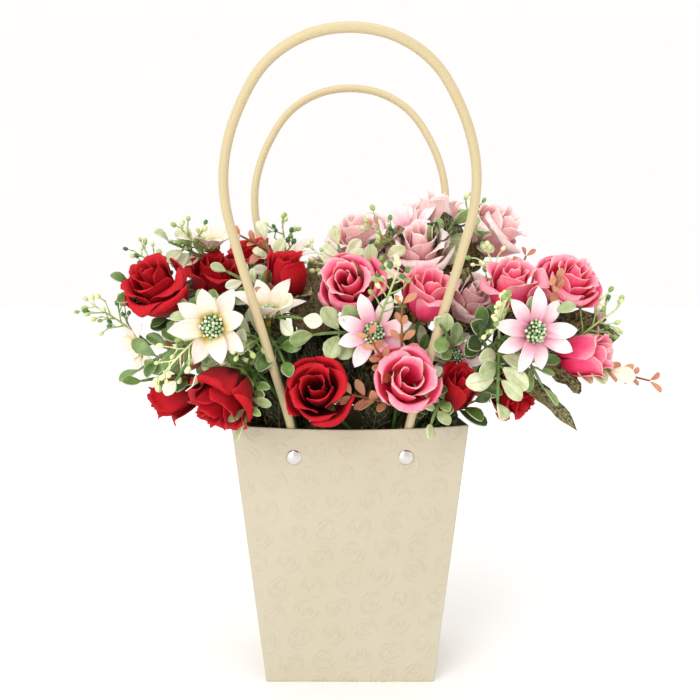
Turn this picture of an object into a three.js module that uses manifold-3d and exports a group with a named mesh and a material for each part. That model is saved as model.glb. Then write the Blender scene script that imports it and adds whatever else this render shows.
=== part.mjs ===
// A flower bag arrangement: an embossed card bag with two tube handles, filled with a bouquet of
// silk roses, star flowers, leaf twigs, berry twigs and copper twigs on moulded plastic stems.
//
// Units are millimetres and +Z is up. The origin is the centre of the bag's underside, the face that
// it stands on. The bag's wide panels face -Y (front) and +Y (rear).

import * as THREE from 'three';
import { mergeVertices } from 'three/addons/utils/BufferGeometryUtils.js';
import Module from 'manifold-3d';

const wasm = await Module();
wasm.setup();

// ---------------------------------------------------------------- driving dimensions

const GAP = 0.3; // clearance between pieces that touch
const TIDY = 0.02; // shortest edge that a boolean may leave

const BAG = {
  height: 200,
  topWidth: 175,
  baseWidth: 128,
  topDepth: 90,
  baseDepth: 84,
  card: 1, // board thickness
  bow: 7, // how far the rim of each wide panel bows out at its middle
  crease: 5, // how far the gusset's centre crease sinks in at the rim
  rimDip: 2, // how much lower the rim is at the middle of a wide panel
};
const BOARD = { inset: 1.6, thick: 1.2 };
const FOAM = { inset: 4, top: 100 };

const HANDLE = {
  radius: 3.15,
  rivetSpacing: 82,
  rivetHeight: 177,
  tabLength: 13, // the pressed-flat end that the rivet goes through
  tabThick: 2.2,
  steps: 34,
  sides: 8,
  // half width of the loop against the height above the rivet
  loop: [
    [41, -6], [42, 14], [46, 34], [56, 76], [67, 122], [76, 160], [81.5, 190], [80.5, 216],
    [71.5, 245], [52.5, 275], [28, 291], [0, 296],
  ],
};
const FRONT_LEAN = 18; // degrees out from upright, above the rim
const REAR_LEAN = 9;

const RIVET = { capRadius: 5.6, capHeight: 1.8, shankRadius: 1.6, backRadius: 4, backHeight: 1, sides: 12 };

const FORK = { radius: 1.4, sides: 4, steps: 6 }; // one flower's branch of a moulded stem
const TRUNK = { radius: 3.2, foot: 42, top: 128 };

// ---------------------------------------------------------------- colours

const finish = (color, roughness, metalness = 0) =>
  new THREE.MeshStandardMaterial({ color, roughness, metalness });

const cardCream = finish('#e3d9bb', 0.75);
const tubeCream = finish('#e2d3a4', 0.45);
const boardWhite = finish('#d8d2c2', 0.9);
const foamGreen = finish('#4d5a3a', 0.95);
const nickel = finish('#cfcdd0', 0.15, 1);
const stemGreen = finish('#5f7a34', 0.55);
const leafGreen = finish('#a9bf82', 0.5);
const berryGreen = finish('#8aa565', 0.45);
const copperBrown = finish('#b9774f', 0.5);
const petal = {
  red: finish('#a80f1c', 0.8),
  pink: finish('#d94672', 0.8),
  pale: finish('#eab9bb', 0.8),
  white: finish('#efe3d2', 0.8),
  blush: finish('#e3c0c4', 0.8),
};

// ---------------------------------------------------------------- solids and booleans

// A closed three.js geometry as a solid.
function solid(geometry) {
  const bare = geometry.index ? geometry.toNonIndexed() : geometry.clone();
  for (const name of Object.keys(bare.attributes)) {
    if (name !== 'position') bare.deleteAttribute(name);
  }
  const merged = mergeVertices(bare, 1e-4);
  return new wasm.Manifold(
    new wasm.Mesh({
      numProp: 3,
      vertProperties: new Float32Array(merged.attributes.position.array),
      triVerts: new Uint32Array(merged.index.array),
    }),
  );
}

// A solid's largest body, with its slivers taken out, as a named mesh.
function mesh(name, shape, material) {
  const bodies = shape.simplify(TIDY).decompose();
  bodies.sort((a, b) => b.volume() - a.volume());
  const made = bodies[0].getMesh();
  const geometry = new THREE.BufferGeometry();
  const points = [];
  for (let i = 0; i < made.numVert; i++) {
    points.push(...made.vertProperties.subarray(i * made.numProp, i * made.numProp + 3));
  }
  geometry.setAttribute('position', new THREE.Float32BufferAttribute(points, 3));
  geometry.setIndex([...made.triVerts]);
  geometry.computeVertexNormals();
  const piece = new THREE.Mesh(geometry, material);
  piece.name = name;
  return piece;
}

const joined = (shapes) => shapes.reduce((a, b) => a.add(b));
const cutBy = (shape, tools) => tools.reduce((a, b) => a.subtract(b), shape);

// ---------------------------------------------------------------- points and routes

const vec = (p) => new THREE.Vector3(...p);
const lerp = THREE.MathUtils.lerp;
const radians = THREE.MathUtils.degToRad;

// The direction a flower faces: azimuth 0 is the front, 90 the right, and elevation is above level.
function facing(azimuth, elevation) {
  const a = radians(azimuth);
  const e = radians(elevation);
  return new THREE.Vector3(Math.sin(a) * Math.cos(e), -Math.cos(a) * Math.cos(e), Math.sin(e));
}

// A round tube along a curve.
function tube(curve, radius, sides, steps) {
  const section = new THREE.Shape();
  for (let i = 0; i < sides; i++) {
    const a = (i / sides) * Math.PI * 2;
    section[i ? 'lineTo' : 'moveTo'](radius * Math.cos(a), radius * Math.sin(a));
  }
  return new THREE.ExtrudeGeometry(section, { steps, extrudePath: curve, bevelEnabled: false });
}

// Places a geometry made around the local Z axis at a point, with that axis along a direction.
function aim(geometry, at, direction) {
  const turn = new THREE.Quaternion().setFromUnitVectors(new THREE.Vector3(0, 0, 1), direction);
  const matrix = new THREE.Matrix4().compose(at, turn, new THREE.Vector3(1, 1, 1));
  return geometry.applyMatrix4(matrix);
}

// A LatheGeometry turns about Y: this stands it up along Z.
function turned(profile, sides) {
  const outline = profile.map(([r, z]) => new THREE.Vector2(r, z));
  return new THREE.LatheGeometry(outline, sides).rotateX(Math.PI / 2);
}

// ---------------------------------------------------------------- the bag

// A box reshaped into the bag's tapered form, set in from the outer face by inset, between two heights.
function bagForm(inset, low, high, segments) {
  const box = new THREE.BoxGeometry(2, 2, 1, ...segments);
  const at = box.attributes.position;
  for (let i = 0; i < at.count; i++) {
    const u = at.getX(i);
    const v = at.getY(i);
    const z = lerp(low, high, at.getZ(i) + 0.5);
    const t = z / BAG.height;
    const across = 1 - u * u;
    const along = 1 - Math.abs(v);
    const halfWidth = lerp(BAG.baseWidth, BAG.topWidth, t) / 2 - inset;
    const halfDepth = lerp(BAG.baseDepth, BAG.topDepth, t) / 2 - inset;
    const x = u * (halfWidth - BAG.crease * t * along);
    const y = v * (halfDepth + BAG.bow * t * across);
    at.setXYZ(i, x, y, z - (high > BAG.card ? BAG.rimDip * t * t * across : 0));
  }
  return solid(box);
}

// Half the bag's outer depth at a height and a place across its width.
function panelFace(z, x) {
  const t = z / BAG.height;
  const u = x / (lerp(BAG.baseWidth, BAG.topWidth, t) / 2);
  return lerp(BAG.baseDepth, BAG.topDepth, t) / 2 + BAG.bow * t * (1 - u * u);
}

const bagShell = bagForm(0, 0, BAG.height, [8, 2, 4]).subtract(
  bagForm(BAG.card, BAG.card, BAG.height * 1.1, [8, 2, 4]),
);
const boardLow = BAG.card + GAP;
const boardShape = bagForm(BOARD.inset, boardLow, boardLow + BOARD.thick, [1, 1, 1]);
const foamShape = bagForm(FOAM.inset, boardLow + BOARD.thick + GAP, FOAM.top, [1, 1, 1]);

// ---------------------------------------------------------------- handles and rivets

// The handle's line: up the inside of the panel from the rivets, over the rim and out at its lean.
// side is -1 at the front and 1 at the rear.
function handleCurve(side, lean) {
  const inner = panelFace(HANDLE.rivetHeight, HANDLE.rivetSpacing / 2) - BAG.card - GAP;
  const start = inner - HANDLE.radius;
  const slope = Math.tan(radians(lean));
  const upright = BAG.height - HANDLE.rivetHeight;
  const half = HANDLE.loop.map(([x, h]) => {
    const above = Math.max(0, h - upright + 12);
    const out = (slope * above * above) / (above + 28);
    const rise = h * lerp(1, Math.cos(radians(lean)), Math.min(1, above / 60));
    return [x, side * (start + out), HANDLE.rivetHeight + rise];
  });
  const left = half.map(([x, y, z]) => vec([-x, y, z]));
  const right = half.slice(0, -1).reverse().map((p) => vec(p));
  return new THREE.CatmullRomCurve3([...left, ...right], false, 'centripetal');
}

// The tube with both ends pressed flat against the panel where the rivets go through.
function handleForm(side, lean, gap) {
  const curve = handleCurve(side, lean);
  const body = tube(curve, HANDLE.radius + gap, HANDLE.sides, HANDLE.steps);
  const inner = panelFace(HANDLE.rivetHeight, HANDLE.rivetSpacing / 2) - BAG.card - GAP;
  const at = body.attributes.position;
  const flatTop = HANDLE.rivetHeight + HANDLE.tabLength / 2;
  const squeeze = HANDLE.tabThick / (2 * HANDLE.radius);
  for (let i = 0; i < at.count; i++) {
    const above = THREE.MathUtils.clamp((at.getZ(i) - flatTop) / 10, 0, 1);
    const share = lerp(squeeze, 1, above);
    const depth = inner - Math.abs(at.getY(i));
    if (at.getZ(i) < BAG.height) at.setY(i, side * (inner - depth * share));
  }
  return solid(body);
}

// A double-cap rivet: domed cap outside, shank through card and tab, flat head inside.
function rivetForm(side, x, gap) {
  const face = panelFace(HANDLE.rivetHeight, x);
  const inside = panelFace(HANDLE.rivetHeight, HANDLE.rivetSpacing / 2) - BAG.card - GAP;
  const backFace = inside - HANDLE.tabThick - GAP - face;
  const { capRadius, capHeight, shankRadius, backRadius, backHeight } = RIVET;
  const profile = [
    [0, backFace - backHeight],
    [backRadius + gap, backFace - backHeight],
    [backRadius + gap, backFace + gap],
    [shankRadius + gap, backFace + gap],
    [shankRadius + gap, GAP - gap],
    [capRadius + gap, GAP - gap],
    [capRadius * 0.86 + gap, capHeight * 0.65],
    [capRadius * 0.5 + gap, capHeight],
    [0, capHeight + GAP],
  ];
  const at = new THREE.Vector3(x, side * face, HANDLE.rivetHeight);
  return solid(aim(turned(profile, RIVET.sides), at, new THREE.Vector3(0, side, 0)));
}

// ---------------------------------------------------------------- flower heads

// name, petal colour, form, diameter, centre, and the azimuth and elevation that it faces
const HEADS = [
  ['red_rose_1', 'red', 'rose', 50, [-137, -36, 296], -25, 42],
  ['red_rose_2', 'red', 'rose', 44, [-108, 4, 303], 25, 62],
  ['red_rose_3', 'red', 'bud', 32, [-50, -18, 304], 10, 70],
  ['red_rose_4', 'red', 'rose', 54, [-85, -68, 230], -38, -42],
  ['red_rose_5', 'red', 'bud', 36, [-126, -30, 224], -78, -28],
  ['red_rose_6', 'red', 'rose', 50, [-22, -66, 225], -6, 26],
  ['red_rose_7', 'red', 'bud', 30, [77, -48, 223], 25, 52],
  ['red_rose_8', 'red', 'rose', 44, [122, -6, 221], 50, -25],
  ['red_rose_9', 'red', 'rose', 42, [-78, 38, 318], -20, 70],
  ['red_rose_10', 'red', 'rose', 50, [-72, 62, 250], -155, 22],
  ['pink_rose_1', 'pink', 'rose', 51, [0, -30, 300], -8, 20],
  ['pink_rose_2', 'pink', 'bud', 36, [54, -42, 292], 15, 50],
  ['pink_rose_3', 'pink', 'rose', 50, [38, -72, 234], 6, 24],
  ['pink_rose_4', 'pink', 'rose', 42, [117, -34, 298], 0, 52],
  ['pink_rose_5', 'pink', 'rose', 52, [161, -18, 299], 20, 42],
  ['pink_rose_6', 'pink', 'bud', 36, [172, -32, 249], 78, 8],
  ['pink_rose_7', 'pink', 'rose', 50, [34, 72, 258], 172, 20],
  ['pale_rose_1', 'pale', 'rose', 50, [53, -12, 324], -10, 45],
  ['pale_rose_2', 'pale', 'rose', 46, [10, 22, 334], -30, 50],
  ['pale_rose_3', 'pale', 'bud', 36, [69, 28, 350], 10, 80],
  ['pale_rose_4', 'pale', 'rose', 46, [112, 22, 341], 60, 40],
  ['pale_rose_5', 'pale', 'rose', 42, [88, -14, 288], 20, 42],
  ['pale_rose_6', 'pale', 'rose', 48, [112, 58, 276], 140, 28],
  ['white_star_1', 'white', 'star', 58, [-95, -78, 275], 6, 4],
  ['white_star_2', 'white', 'cup_star', 50, [-60, -46, 288], 12, 64],
  ['white_star_3', 'white', 'cup_star', 48, [-166, -20, 257], -84, -10],
  ['white_star_4', 'white', 'cup_star', 48, [-109, 4, 338], 10, 74],
  ['white_star_5', 'white', 'cup_star', 44, [-50, 20, 326], -10, 70],
  ['white_star_6', 'white', 'star', 56, [-18, 76, 304], -170, 32],
  ['pink_star_1', 'blush', 'star', 56, [17, -56, 268], 0, 10],
  ['pink_star_2', 'blush', 'star', 58, [128, -66, 271], 18, 0],
  ['pink_star_3', 'blush', 'star', 52, [192, 4, 271], 62, 12],
  ['pink_star_4', 'blush', 'star', 46, [78, -38, 250], -20, 6],
  ['pink_star_5', 'blush', 'cup_star', 50, [48, 14, 346], -10, 62],
];

// The plain closed form of a head around local Z, and how far its base is behind its centre. Half the
// diameter is 1 here.
const FORMS = {
  rose: {
    sides: 12,
    back: 0.74,
    profile: [[0, -0.74], [0.34, -0.62], [0.8, -0.2], [1, 0.3], [0.8, 0.58], [0, 0.62]],
  },
  bud: {
    sides: 12,
    back: 1.08,
    profile: [[0, -1.08], [0.5, -0.82], [0.96, -0.1], [1, 0.62], [0.7, 0.98], [0, 0.9]],
  },
  star: {
    sides: 16,
    back: 0.34,
    profile: [[0, -0.34], [0.2, -0.3], [1, 0.06], [1, 0.14], [0.3, 0.1], [0, 0.2]],
  },
  cup_star: {
    sides: 16,
    back: 0.6,
    profile: [[0, -0.6], [0.22, -0.52], [0.76, 0.62], [0.7, 0.66], [0.2, -0.1], [0, -0.1]],
  },
};

// The petal tips of a star stand further out than the gaps between them.
const NOTCH = 0.5;

function headForm(form, diameter, at, direction, gap) {
  const { sides, profile } = FORMS[form];
  const size = diameter / 2;
  const widest = 3; // profile points up to here are the outside, and the rest are the open top
  const outline = profile.map(([r, z], i) => [
    r * size + (r && i <= widest ? gap : 0),
    z * size + (i < widest ? -gap : gap),
  ]);
  const shape = turned(outline, sides);
  if (form.endsWith('star')) {
    const p = shape.attributes.position;
    for (let i = 0; i < p.count; i++) {
      const r = Math.hypot(p.getX(i), p.getY(i));
      const step = Math.round((Math.atan2(p.getY(i), p.getX(i)) / Math.PI) * (sides / 2));
      const share = ((r - gap) * NOTCH + gap) / r;
      if (r > size * 0.6 && step % 2) p.setXY(i, p.getX(i) * share, p.getY(i) * share);
    }
  }
  return solid(aim(shape, at, direction));
}

// ---------------------------------------------------------------- moulded stems

// Each bunch's trunk stands in the foam, and the heads whose branches leave it.
const BUNCHES = {
  red_bunch_stem: { foot: [-34, -8], heads: /^(red_rose_(?!6|7|8)|white_star)/ },
  pink_bunch_stem: { foot: [30, -14], heads: /^(pink|red_rose_[678]$)/ },
  pale_bunch_stem: { foot: [22, 18], heads: /^pale/ },
};

// A branch: up from the trunk, then out and into the back of its head.
function forkCurve(foot, base, direction) {
  const start = new THREE.Vector3(foot[0], foot[1], TRUNK.top);
  const reach = start.distanceTo(base);
  const rise = start.clone().add(new THREE.Vector3(0, 0, reach * 0.42));
  const arrive = base.clone().addScaledVector(direction, -reach * 0.22);
  return new THREE.CubicBezierCurve3(start, rise, arrive, base);
}

const forks = [];
for (const [bunch, { foot, heads }] of Object.entries(BUNCHES)) {
  for (const [name, , form, diameter, at, azimuth, elevation] of HEADS) {
    if (!heads.test(name)) continue;
    const direction = facing(azimuth, elevation);
    const base = vec(at).addScaledVector(direction, (-FORMS[form].back * diameter) / 2 - GAP);
    forks.push({ bunch, name, curve: forkCurve(foot, base, direction) });
  }
}

function bunchForm(bunch, gap) {
  const [x, y] = BUNCHES[bunch].foot;
  const trunk = new THREE.LineCurve3(
    new THREE.Vector3(x, y, TRUNK.foot - gap),
    new THREE.Vector3(x, y, TRUNK.top + 3 + gap),
  );
  const branches = forks
    .filter((f) => f.bunch === bunch)
    .map((f) => solid(tube(f.curve, FORK.radius + gap, FORK.sides, FORK.steps)));
  return joined([solid(tube(trunk, TRUNK.radius + gap, 8, 1)), ...branches]);
}

// ---------------------------------------------------------------- twigs

// name, kind, where it leaves a branch, its tip, and how far its line arches up, as a share of its length
const TWIGS = [
  ['leaf_twig_1', 'leaf', [-108, -38, 268], [-164, -36, 322], 0.12],
  ['leaf_twig_2', 'leaf', [-86, -52, 262], [-170, -44, 228], 0.1],
  ['leaf_twig_3', 'leaf', [-92, 0, 290], [-144, 8, 344], 0.1],
  ['leaf_twig_4', 'leaf', [-46, -52, 236], [-62, -80, 188], 0.12],
  ['leaf_twig_5', 'leaf', [-2, -34, 262], [-44, -46, 276], 0.1],
  ['leaf_twig_6', 'leaf', [80, 0, 318], [86, -4, 364], 0.02],
  ['leaf_twig_7', 'leaf', [76, -40, 222], [54, -68, 190], 0.5],
  ['leaf_twig_8', 'leaf', [100, -58, 262], [106, -72, 198], 0.12],
  ['leaf_twig_9', 'leaf', [150, -36, 240], [200, -36, 238], 0.08],
  ['berry_twig_1', 'berry', [-128, -40, 262], [-198, -38, 284], 0.05],
  ['berry_twig_2', 'berry', [104, -62, 252], [106, -76, 284], 0.02],
  ['berry_twig_3', 'berry', [166, -44, 268], [208, -40, 286], 0.05],
  ['copper_twig_1', 'copper', [18, -62, 218], [14, -76, 276], 0.0],
  ['copper_twig_2', 'copper', [140, -26, 226], [234, -28, 232], 0.0],
];

const KINDS = {
  leaf: { stem: 1, pairs: 3, length: 19, width: 11, thick: 1.6, material: leafGreen },
  berry: { stem: 0.8, pairs: 3, length: 12, width: 3.6, thick: 3.6, material: berryGreen },
  copper: { stem: 0.8, pairs: 3, length: 11, width: 6.5, thick: 1.4, material: copperBrown },
};

// The branch point nearest to where the twig is to leave.
function nearestOnForks(from) {
  let best = null;
  for (const { curve } of forks) {
    for (const p of curve.getPoints(24)) {
      if (!best || p.distanceTo(from) < best.distanceTo(from)) best = p;
    }
  }
  return best;
}

function twigCurve(from, tip, arch) {
  const root = nearestOnForks(vec(from));
  const end = vec(tip);
  const middle = root.clone().lerp(end, 0.5);
  middle.z += arch * root.distanceTo(end);
  return new THREE.QuadraticBezierCurve3(root, middle, end);
}

// A six-sided leaf or berry whose length runs along out, from its foot on the stem.
function bladeForm(foot, out, up, { length, width, thick }, gap) {
  const side = new THREE.Vector3().crossVectors(out, up).normalize();
  const normal = new THREE.Vector3().crossVectors(side, out).normalize();
  const blade = new THREE.SphereGeometry(1, 6, 2).rotateX(Math.PI / 2);
  blade.scale(length / 2 + gap, width / 2 + gap, thick / 2 + gap);
  const basis = new THREE.Matrix4().makeBasis(out, side.negate(), normal);
  basis.setPosition(foot.clone().addScaledVector(out, length * 0.46));
  return solid(blade.applyMatrix4(basis));
}

// A stem with pairs of blades on either side and one at the tip.
function twigForm([, kind, from, tip, arch], gap) {
  const { stem, pairs } = KINDS[kind];
  const curve = twigCurve(from, tip, arch);
  const up = new THREE.Vector3(0, -0.6, 0.8);
  const pieces = [solid(tube(curve, stem + gap, 4, 6))];
  for (let pair = 0; pair <= pairs; pair++) {
    const share = pair === pairs ? 1 : 0.34 + (0.58 * pair) / pairs;
    const foot = curve.getPoint(share === 1 ? 0.97 : share);
    const along = curve.getTangent(share);
    const across = new THREE.Vector3().crossVectors(along, up).normalize();
    const sides = pair === pairs ? [0] : [-1, 1];
    for (const side of sides) {
      const out = along.clone().addScaledVector(across, side * 1.3).normalize();
      pieces.push(bladeForm(foot, out, up, KINDS[kind], gap));
    }
  }
  return joined(pieces);
}

// ---------------------------------------------------------------- the arrangement

const arrangement = new THREE.Group();
const taken = []; // what is already in place, each grown by the clearance

// Cuts a shape back from what is in place, adds it, and keeps its grown form for the next ones.
function place(name, shape, grown, material) {
  arrangement.add(mesh(name, cutBy(shape, taken), material));
  taken.push(grown);
}

const rivets = [];
for (const [end, side] of [['front', -1], ['rear', 1]]) {
  for (const [hand, x] of [['left', -HANDLE.rivetSpacing / 2], ['right', HANDLE.rivetSpacing / 2]]) {
    rivets.push([`rivet_${end}_${hand}`, side, x]);
  }
}
for (const [name, side, x] of rivets) {
  place(name, rivetForm(side, x, 0), rivetForm(side, x, GAP), nickel);
}
place('front_handle', handleForm(-1, FRONT_LEAN, 0), handleForm(-1, FRONT_LEAN, GAP), tubeCream);
place('rear_handle', handleForm(1, REAR_LEAN, 0), handleForm(1, REAR_LEAN, GAP), tubeCream);
place('bag_body', bagShell, bagShell, cardCream);
place('base_board', boardShape, boardShape, boardWhite);

const headShapes = HEADS.map(([name, colour, form, diameter, at, azimuth, elevation]) => {
  const direction = facing(azimuth, elevation);
  const make = (gap) => headForm(form, diameter, vec(at), direction, gap);
  return [name, make(0), make(GAP), petal[colour]];
});
for (const head of headShapes) place(...head);

for (const bunch of Object.keys(BUNCHES)) {
  place(bunch, bunchForm(bunch, 0), bunchForm(bunch, GAP), stemGreen);
}
for (const twig of TWIGS) {
  place(twig[0], twigForm(twig, 0), twigForm(twig, GAP), KINDS[twig[1]].material);
}
place('foam_block', foamShape, foamShape, foamGreen);

export default arrangement;
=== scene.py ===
"""A flower bag arrangement: an embossed card bag with two tube handles, filled with silk roses, star
flowers and moulded leaf, berry and copper twigs."""

import math
import random

import bmesh
import bpy
from mathutils import Matrix, Vector, noise


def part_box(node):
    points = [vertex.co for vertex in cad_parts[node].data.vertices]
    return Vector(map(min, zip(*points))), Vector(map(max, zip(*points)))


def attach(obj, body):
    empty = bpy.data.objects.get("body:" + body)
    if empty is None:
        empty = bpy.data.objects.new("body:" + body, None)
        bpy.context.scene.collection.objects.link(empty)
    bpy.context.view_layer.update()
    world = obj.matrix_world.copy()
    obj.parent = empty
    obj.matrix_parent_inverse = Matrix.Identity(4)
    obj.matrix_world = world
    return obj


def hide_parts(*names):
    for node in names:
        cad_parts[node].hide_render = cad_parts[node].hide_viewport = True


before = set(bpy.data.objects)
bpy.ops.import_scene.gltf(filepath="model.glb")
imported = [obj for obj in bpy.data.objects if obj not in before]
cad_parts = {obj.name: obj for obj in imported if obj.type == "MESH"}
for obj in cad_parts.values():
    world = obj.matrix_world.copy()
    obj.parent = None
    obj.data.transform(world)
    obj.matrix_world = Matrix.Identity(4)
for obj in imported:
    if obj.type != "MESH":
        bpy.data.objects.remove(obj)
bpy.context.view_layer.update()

MM = 0.001


# ------------------------------------------------------------------ camera, floor and studio light
# The bag stands on a plain white table in a light tent: one broad soft key from the upper left, a
# weaker fill from the right and an even pale surround.

CAMERA_PLACE = (0, -0.623, 0.3165)
CAMERA_DIP = 6  # degrees below level
LENS = 41
TENT_GLOW = 1.0
SUN_POWER = 0.75
SUN_SPREAD = 35  # degrees
SUN_FROM = (-0.6, -0.85, 0.6)


def add_object(name, data):
    made = bpy.data.objects.new(name, data)
    bpy.context.scene.collection.objects.link(made)
    return made


camera = add_object("camera", bpy.data.cameras.new("camera"))
camera.data.sensor_width = 36
camera.data.lens = LENS
camera.location = CAMERA_PLACE
camera.rotation_euler = (math.radians(90 - CAMERA_DIP), 0, 0)
bpy.context.scene.camera = camera
bpy.context.scene.view_settings.view_transform = "Standard"


def linear(colour):
    """An sRGB hex colour as linear red, green, blue and alpha."""
    parts = [int(colour[i:i + 2], 16) / 255 for i in (1, 3, 5)]
    return [c / 12.92 if c < 0.04045 else ((c + 0.055) / 1.055) ** 2.4 for c in parts] + [1]


def output_of(source):
    """A node's first output, or the output itself."""
    return getattr(source, "outputs", [source])[0]


def add_node(tree, kind, settings=(), links=()):
    """Adds one shader node. Stops fill a colour ramp, and a link joins a node or output to an input."""
    made = tree.nodes.new("ShaderNode" + kind)
    for key, value in dict(settings).items():
        if key == "stops":
            ramp = made.color_ramp
            while len(ramp.elements) < len(value):
                ramp.elements.new(1)
            for element, (place, colour) in zip(ramp.elements, value):
                element.position = place
                element.color = linear(colour)
        elif isinstance(key, int) or key in made.inputs:
            made.inputs[key].default_value = value
        else:
            setattr(made, key, value)
    for key, source in dict(links).items():
        tree.links.new(output_of(source), made.inputs[key])
    return made


def new_material(name, settings):
    """A material whose principled shader has these settings, and its node tree."""
    made = bpy.data.materials.new(name)
    made.use_nodes = True
    for key, value in settings.items():
        made.node_tree.nodes["Principled BSDF"].inputs[key].default_value = value
    return made, made.node_tree


def finish_with(made, colour, roughness=None, height=None, strength=0.3, distance=MM):
    """Joins a material's colour, roughness and height to its shader, and returns the material."""
    tree = made.node_tree
    relief = {"Strength": strength, "Distance": distance}
    bump = height and add_node(tree, "Bump", relief, {"Height": height})
    for key, source in {"Base Color": colour, "Roughness": roughness, "Normal": bump}.items():
        if source:
            tree.links.new(output_of(source), tree.nodes["Principled BSDF"].inputs[key])
    return made


def swayed(tree, value, cloud, sway):
    """A value shifted by a noise, by up to half of sway either way."""
    wander = add_node(tree, "Math", {"operation": "MULTIPLY_ADD", 1: sway, 2: -sway / 2}, {0: cloud})
    return add_node(tree, "Math", {"operation": "ADD"}, {0: value, 1: wander})


def grained(name, settings, stops, grain, bump=None, kind="TexNoise"):
    """A material with one grain, which picks the colour between the stops and may raise the surface."""
    made, tree = new_material(name, settings)
    place = add_node(tree, "TexCoord").outputs["Object"]
    speck = add_node(tree, kind, grain, {"Vector": place})
    tone = add_node(tree, "ValToRGB", {"stops": stops}, {"Fac": speck})
    return finish_with(made, tone, None, bump and speck, *(bump or ()))


table_mesh = bmesh.new()
bmesh.ops.create_circle(table_mesh, cap_ends=True, segments=96, radius=6)
table = add_object("table", bpy.data.meshes.new("table"))
table_mesh.to_mesh(table.data)
# matt white paint, with a trace of roller texture
table.data.materials.append(grained("painted_table", {"Roughness": 0.85},
                                    [(0.3, "#f9f8f7"), (0.7, "#fcfbfa")], {"Scale": 400}))

tent = bpy.data.worlds.new("light_tent")
tent.use_nodes = True
tent.node_tree.nodes["Background"].inputs["Color"].default_value = linear("#fffefd")
tent.node_tree.nodes["Background"].inputs["Strength"].default_value = TENT_GLOW
bpy.context.scene.world = tent

# one large soft lamp from the upper left front, which lights the table evenly
window = add_object("window", bpy.data.lights.new("window", "SUN"))
window.data.energy = SUN_POWER
window.data.angle = math.radians(SUN_SPREAD)
window.rotation_euler = Vector(SUN_FROM).to_track_quat("Z", "Y").to_euler()

# name, place in metres, width of the panel and power in watts; each is aimed at the bouquet
SOFT_BOXES = [
    ("key", (-0.7, -1.3, 0.45), 0.8, 4),
    ("fill", (1.1, -0.8, 0.7), 0.9, 1),
    ("top", (0.1, -0.35, 1.3), 0.8, 2.2),
    ("back", (-0.3, 1.3, 0.8), 0.9, 2),
]
BOUQUET_MIDDLE = Vector((0, 0, 0.26))
for name, place, width, power in SOFT_BOXES:
    lamp = add_object(name, bpy.data.lights.new(name, "AREA"))
    lamp.data.size = width
    lamp.data.energy = power
    lamp.data.color = linear("#fffdf8")[:3]
    lamp.location = place
    lamp.rotation_euler = (Vector(place) - BOUQUET_MIDDLE).to_track_quat("Z", "Y").to_euler()


# ------------------------------------------------------------------ bag
# One sheet of satin-laminated card, creased and glued into a tapered sleeve with sunk gussets at its
# sides and a folded bottom. The sheet is pressed all over with a faint pattern of open roses.

BAG_LOW, BAG_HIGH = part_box("bag_body")
BAG_HEIGHT = BAG_HIGH.z
TOP_WIDTH = BAG_HIGH.x - BAG_LOW.x
BASE_WIDTH = 128 * MM
TOP_DEPTH = 90 * MM
BASE_DEPTH = 84 * MM
CARD = 1 * MM
BOW = (BAG_HIGH.y - BAG_LOW.y - TOP_DEPTH) / 2  # how far the rim of a wide panel bows out
CREASE = 5 * MM  # how far the gusset sinks in at the rim
RIM_DIP = 2 * MM
FLAP = 44 * MM  # height of the folded corner creases on the gussets

# the pressed roses repeat along these two steps across and up the sheet
ROSE_STEP = (19.5 * MM, -18 * MM)
ROSE_DROP = (-5.5 * MM, -21.5 * MM)
ROSE_RADIUS = 11.2 * MM
LINE_PITCH = 3.4 * MM
RELIEF = 0.7 * MM

PANEL_COLUMNS = 166
GUSSET_COLUMNS = 84
OUTER_ROWS = 190
INNER_ROWS = 6


def mix(a, b, share):
    return a + (b - a) * share


def smooth_step(low, high, value):
    share = min(1, max(0, (value - low) / (high - low)))
    return share * share * (3 - 2 * share)


def new_piece(name, bm, material, slot, thickness=0):
    """The bmesh as an object that rides on the arrangement's body, in place of the frame's node of the
    same name if there is one. A sheet gets a thickness."""
    for face in bm.faces:
        face.smooth = True
    piece = add_object(name, bpy.data.meshes.new(name))
    bm.to_mesh(piece.data)
    bm.free()
    piece.data.materials.append(material)
    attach(piece, "root")
    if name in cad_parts:
        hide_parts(name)
    if thickness:
        thicken = piece.modifiers.new("thickness", "SOLIDIFY")
        thicken.thickness = thickness
        thicken.offset = 0
        thicken.use_even_offset = False


def bent_grid(bm, across, along, place):
    """A grid whose points go to place(s, t), with s from -1 to 1 across and t from 0 to 1 along."""
    made = bmesh.ops.create_grid(bm, x_segments=across, y_segments=along, size=1, calc_uvs=True)["verts"]
    for vert in made:
        vert.co = place(vert.co.x, (vert.co.y + 1) / 2)
    return made


def panel_face(z, x):
    """Half the bag's outer depth at a height and a place across its width."""
    t = z / BAG_HEIGHT
    u = x / (mix(BASE_WIDTH, TOP_WIDTH, t) / 2)
    return mix(BASE_DEPTH, TOP_DEPTH, t) / 2 + BOW * t * (1 - u * u)


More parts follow.
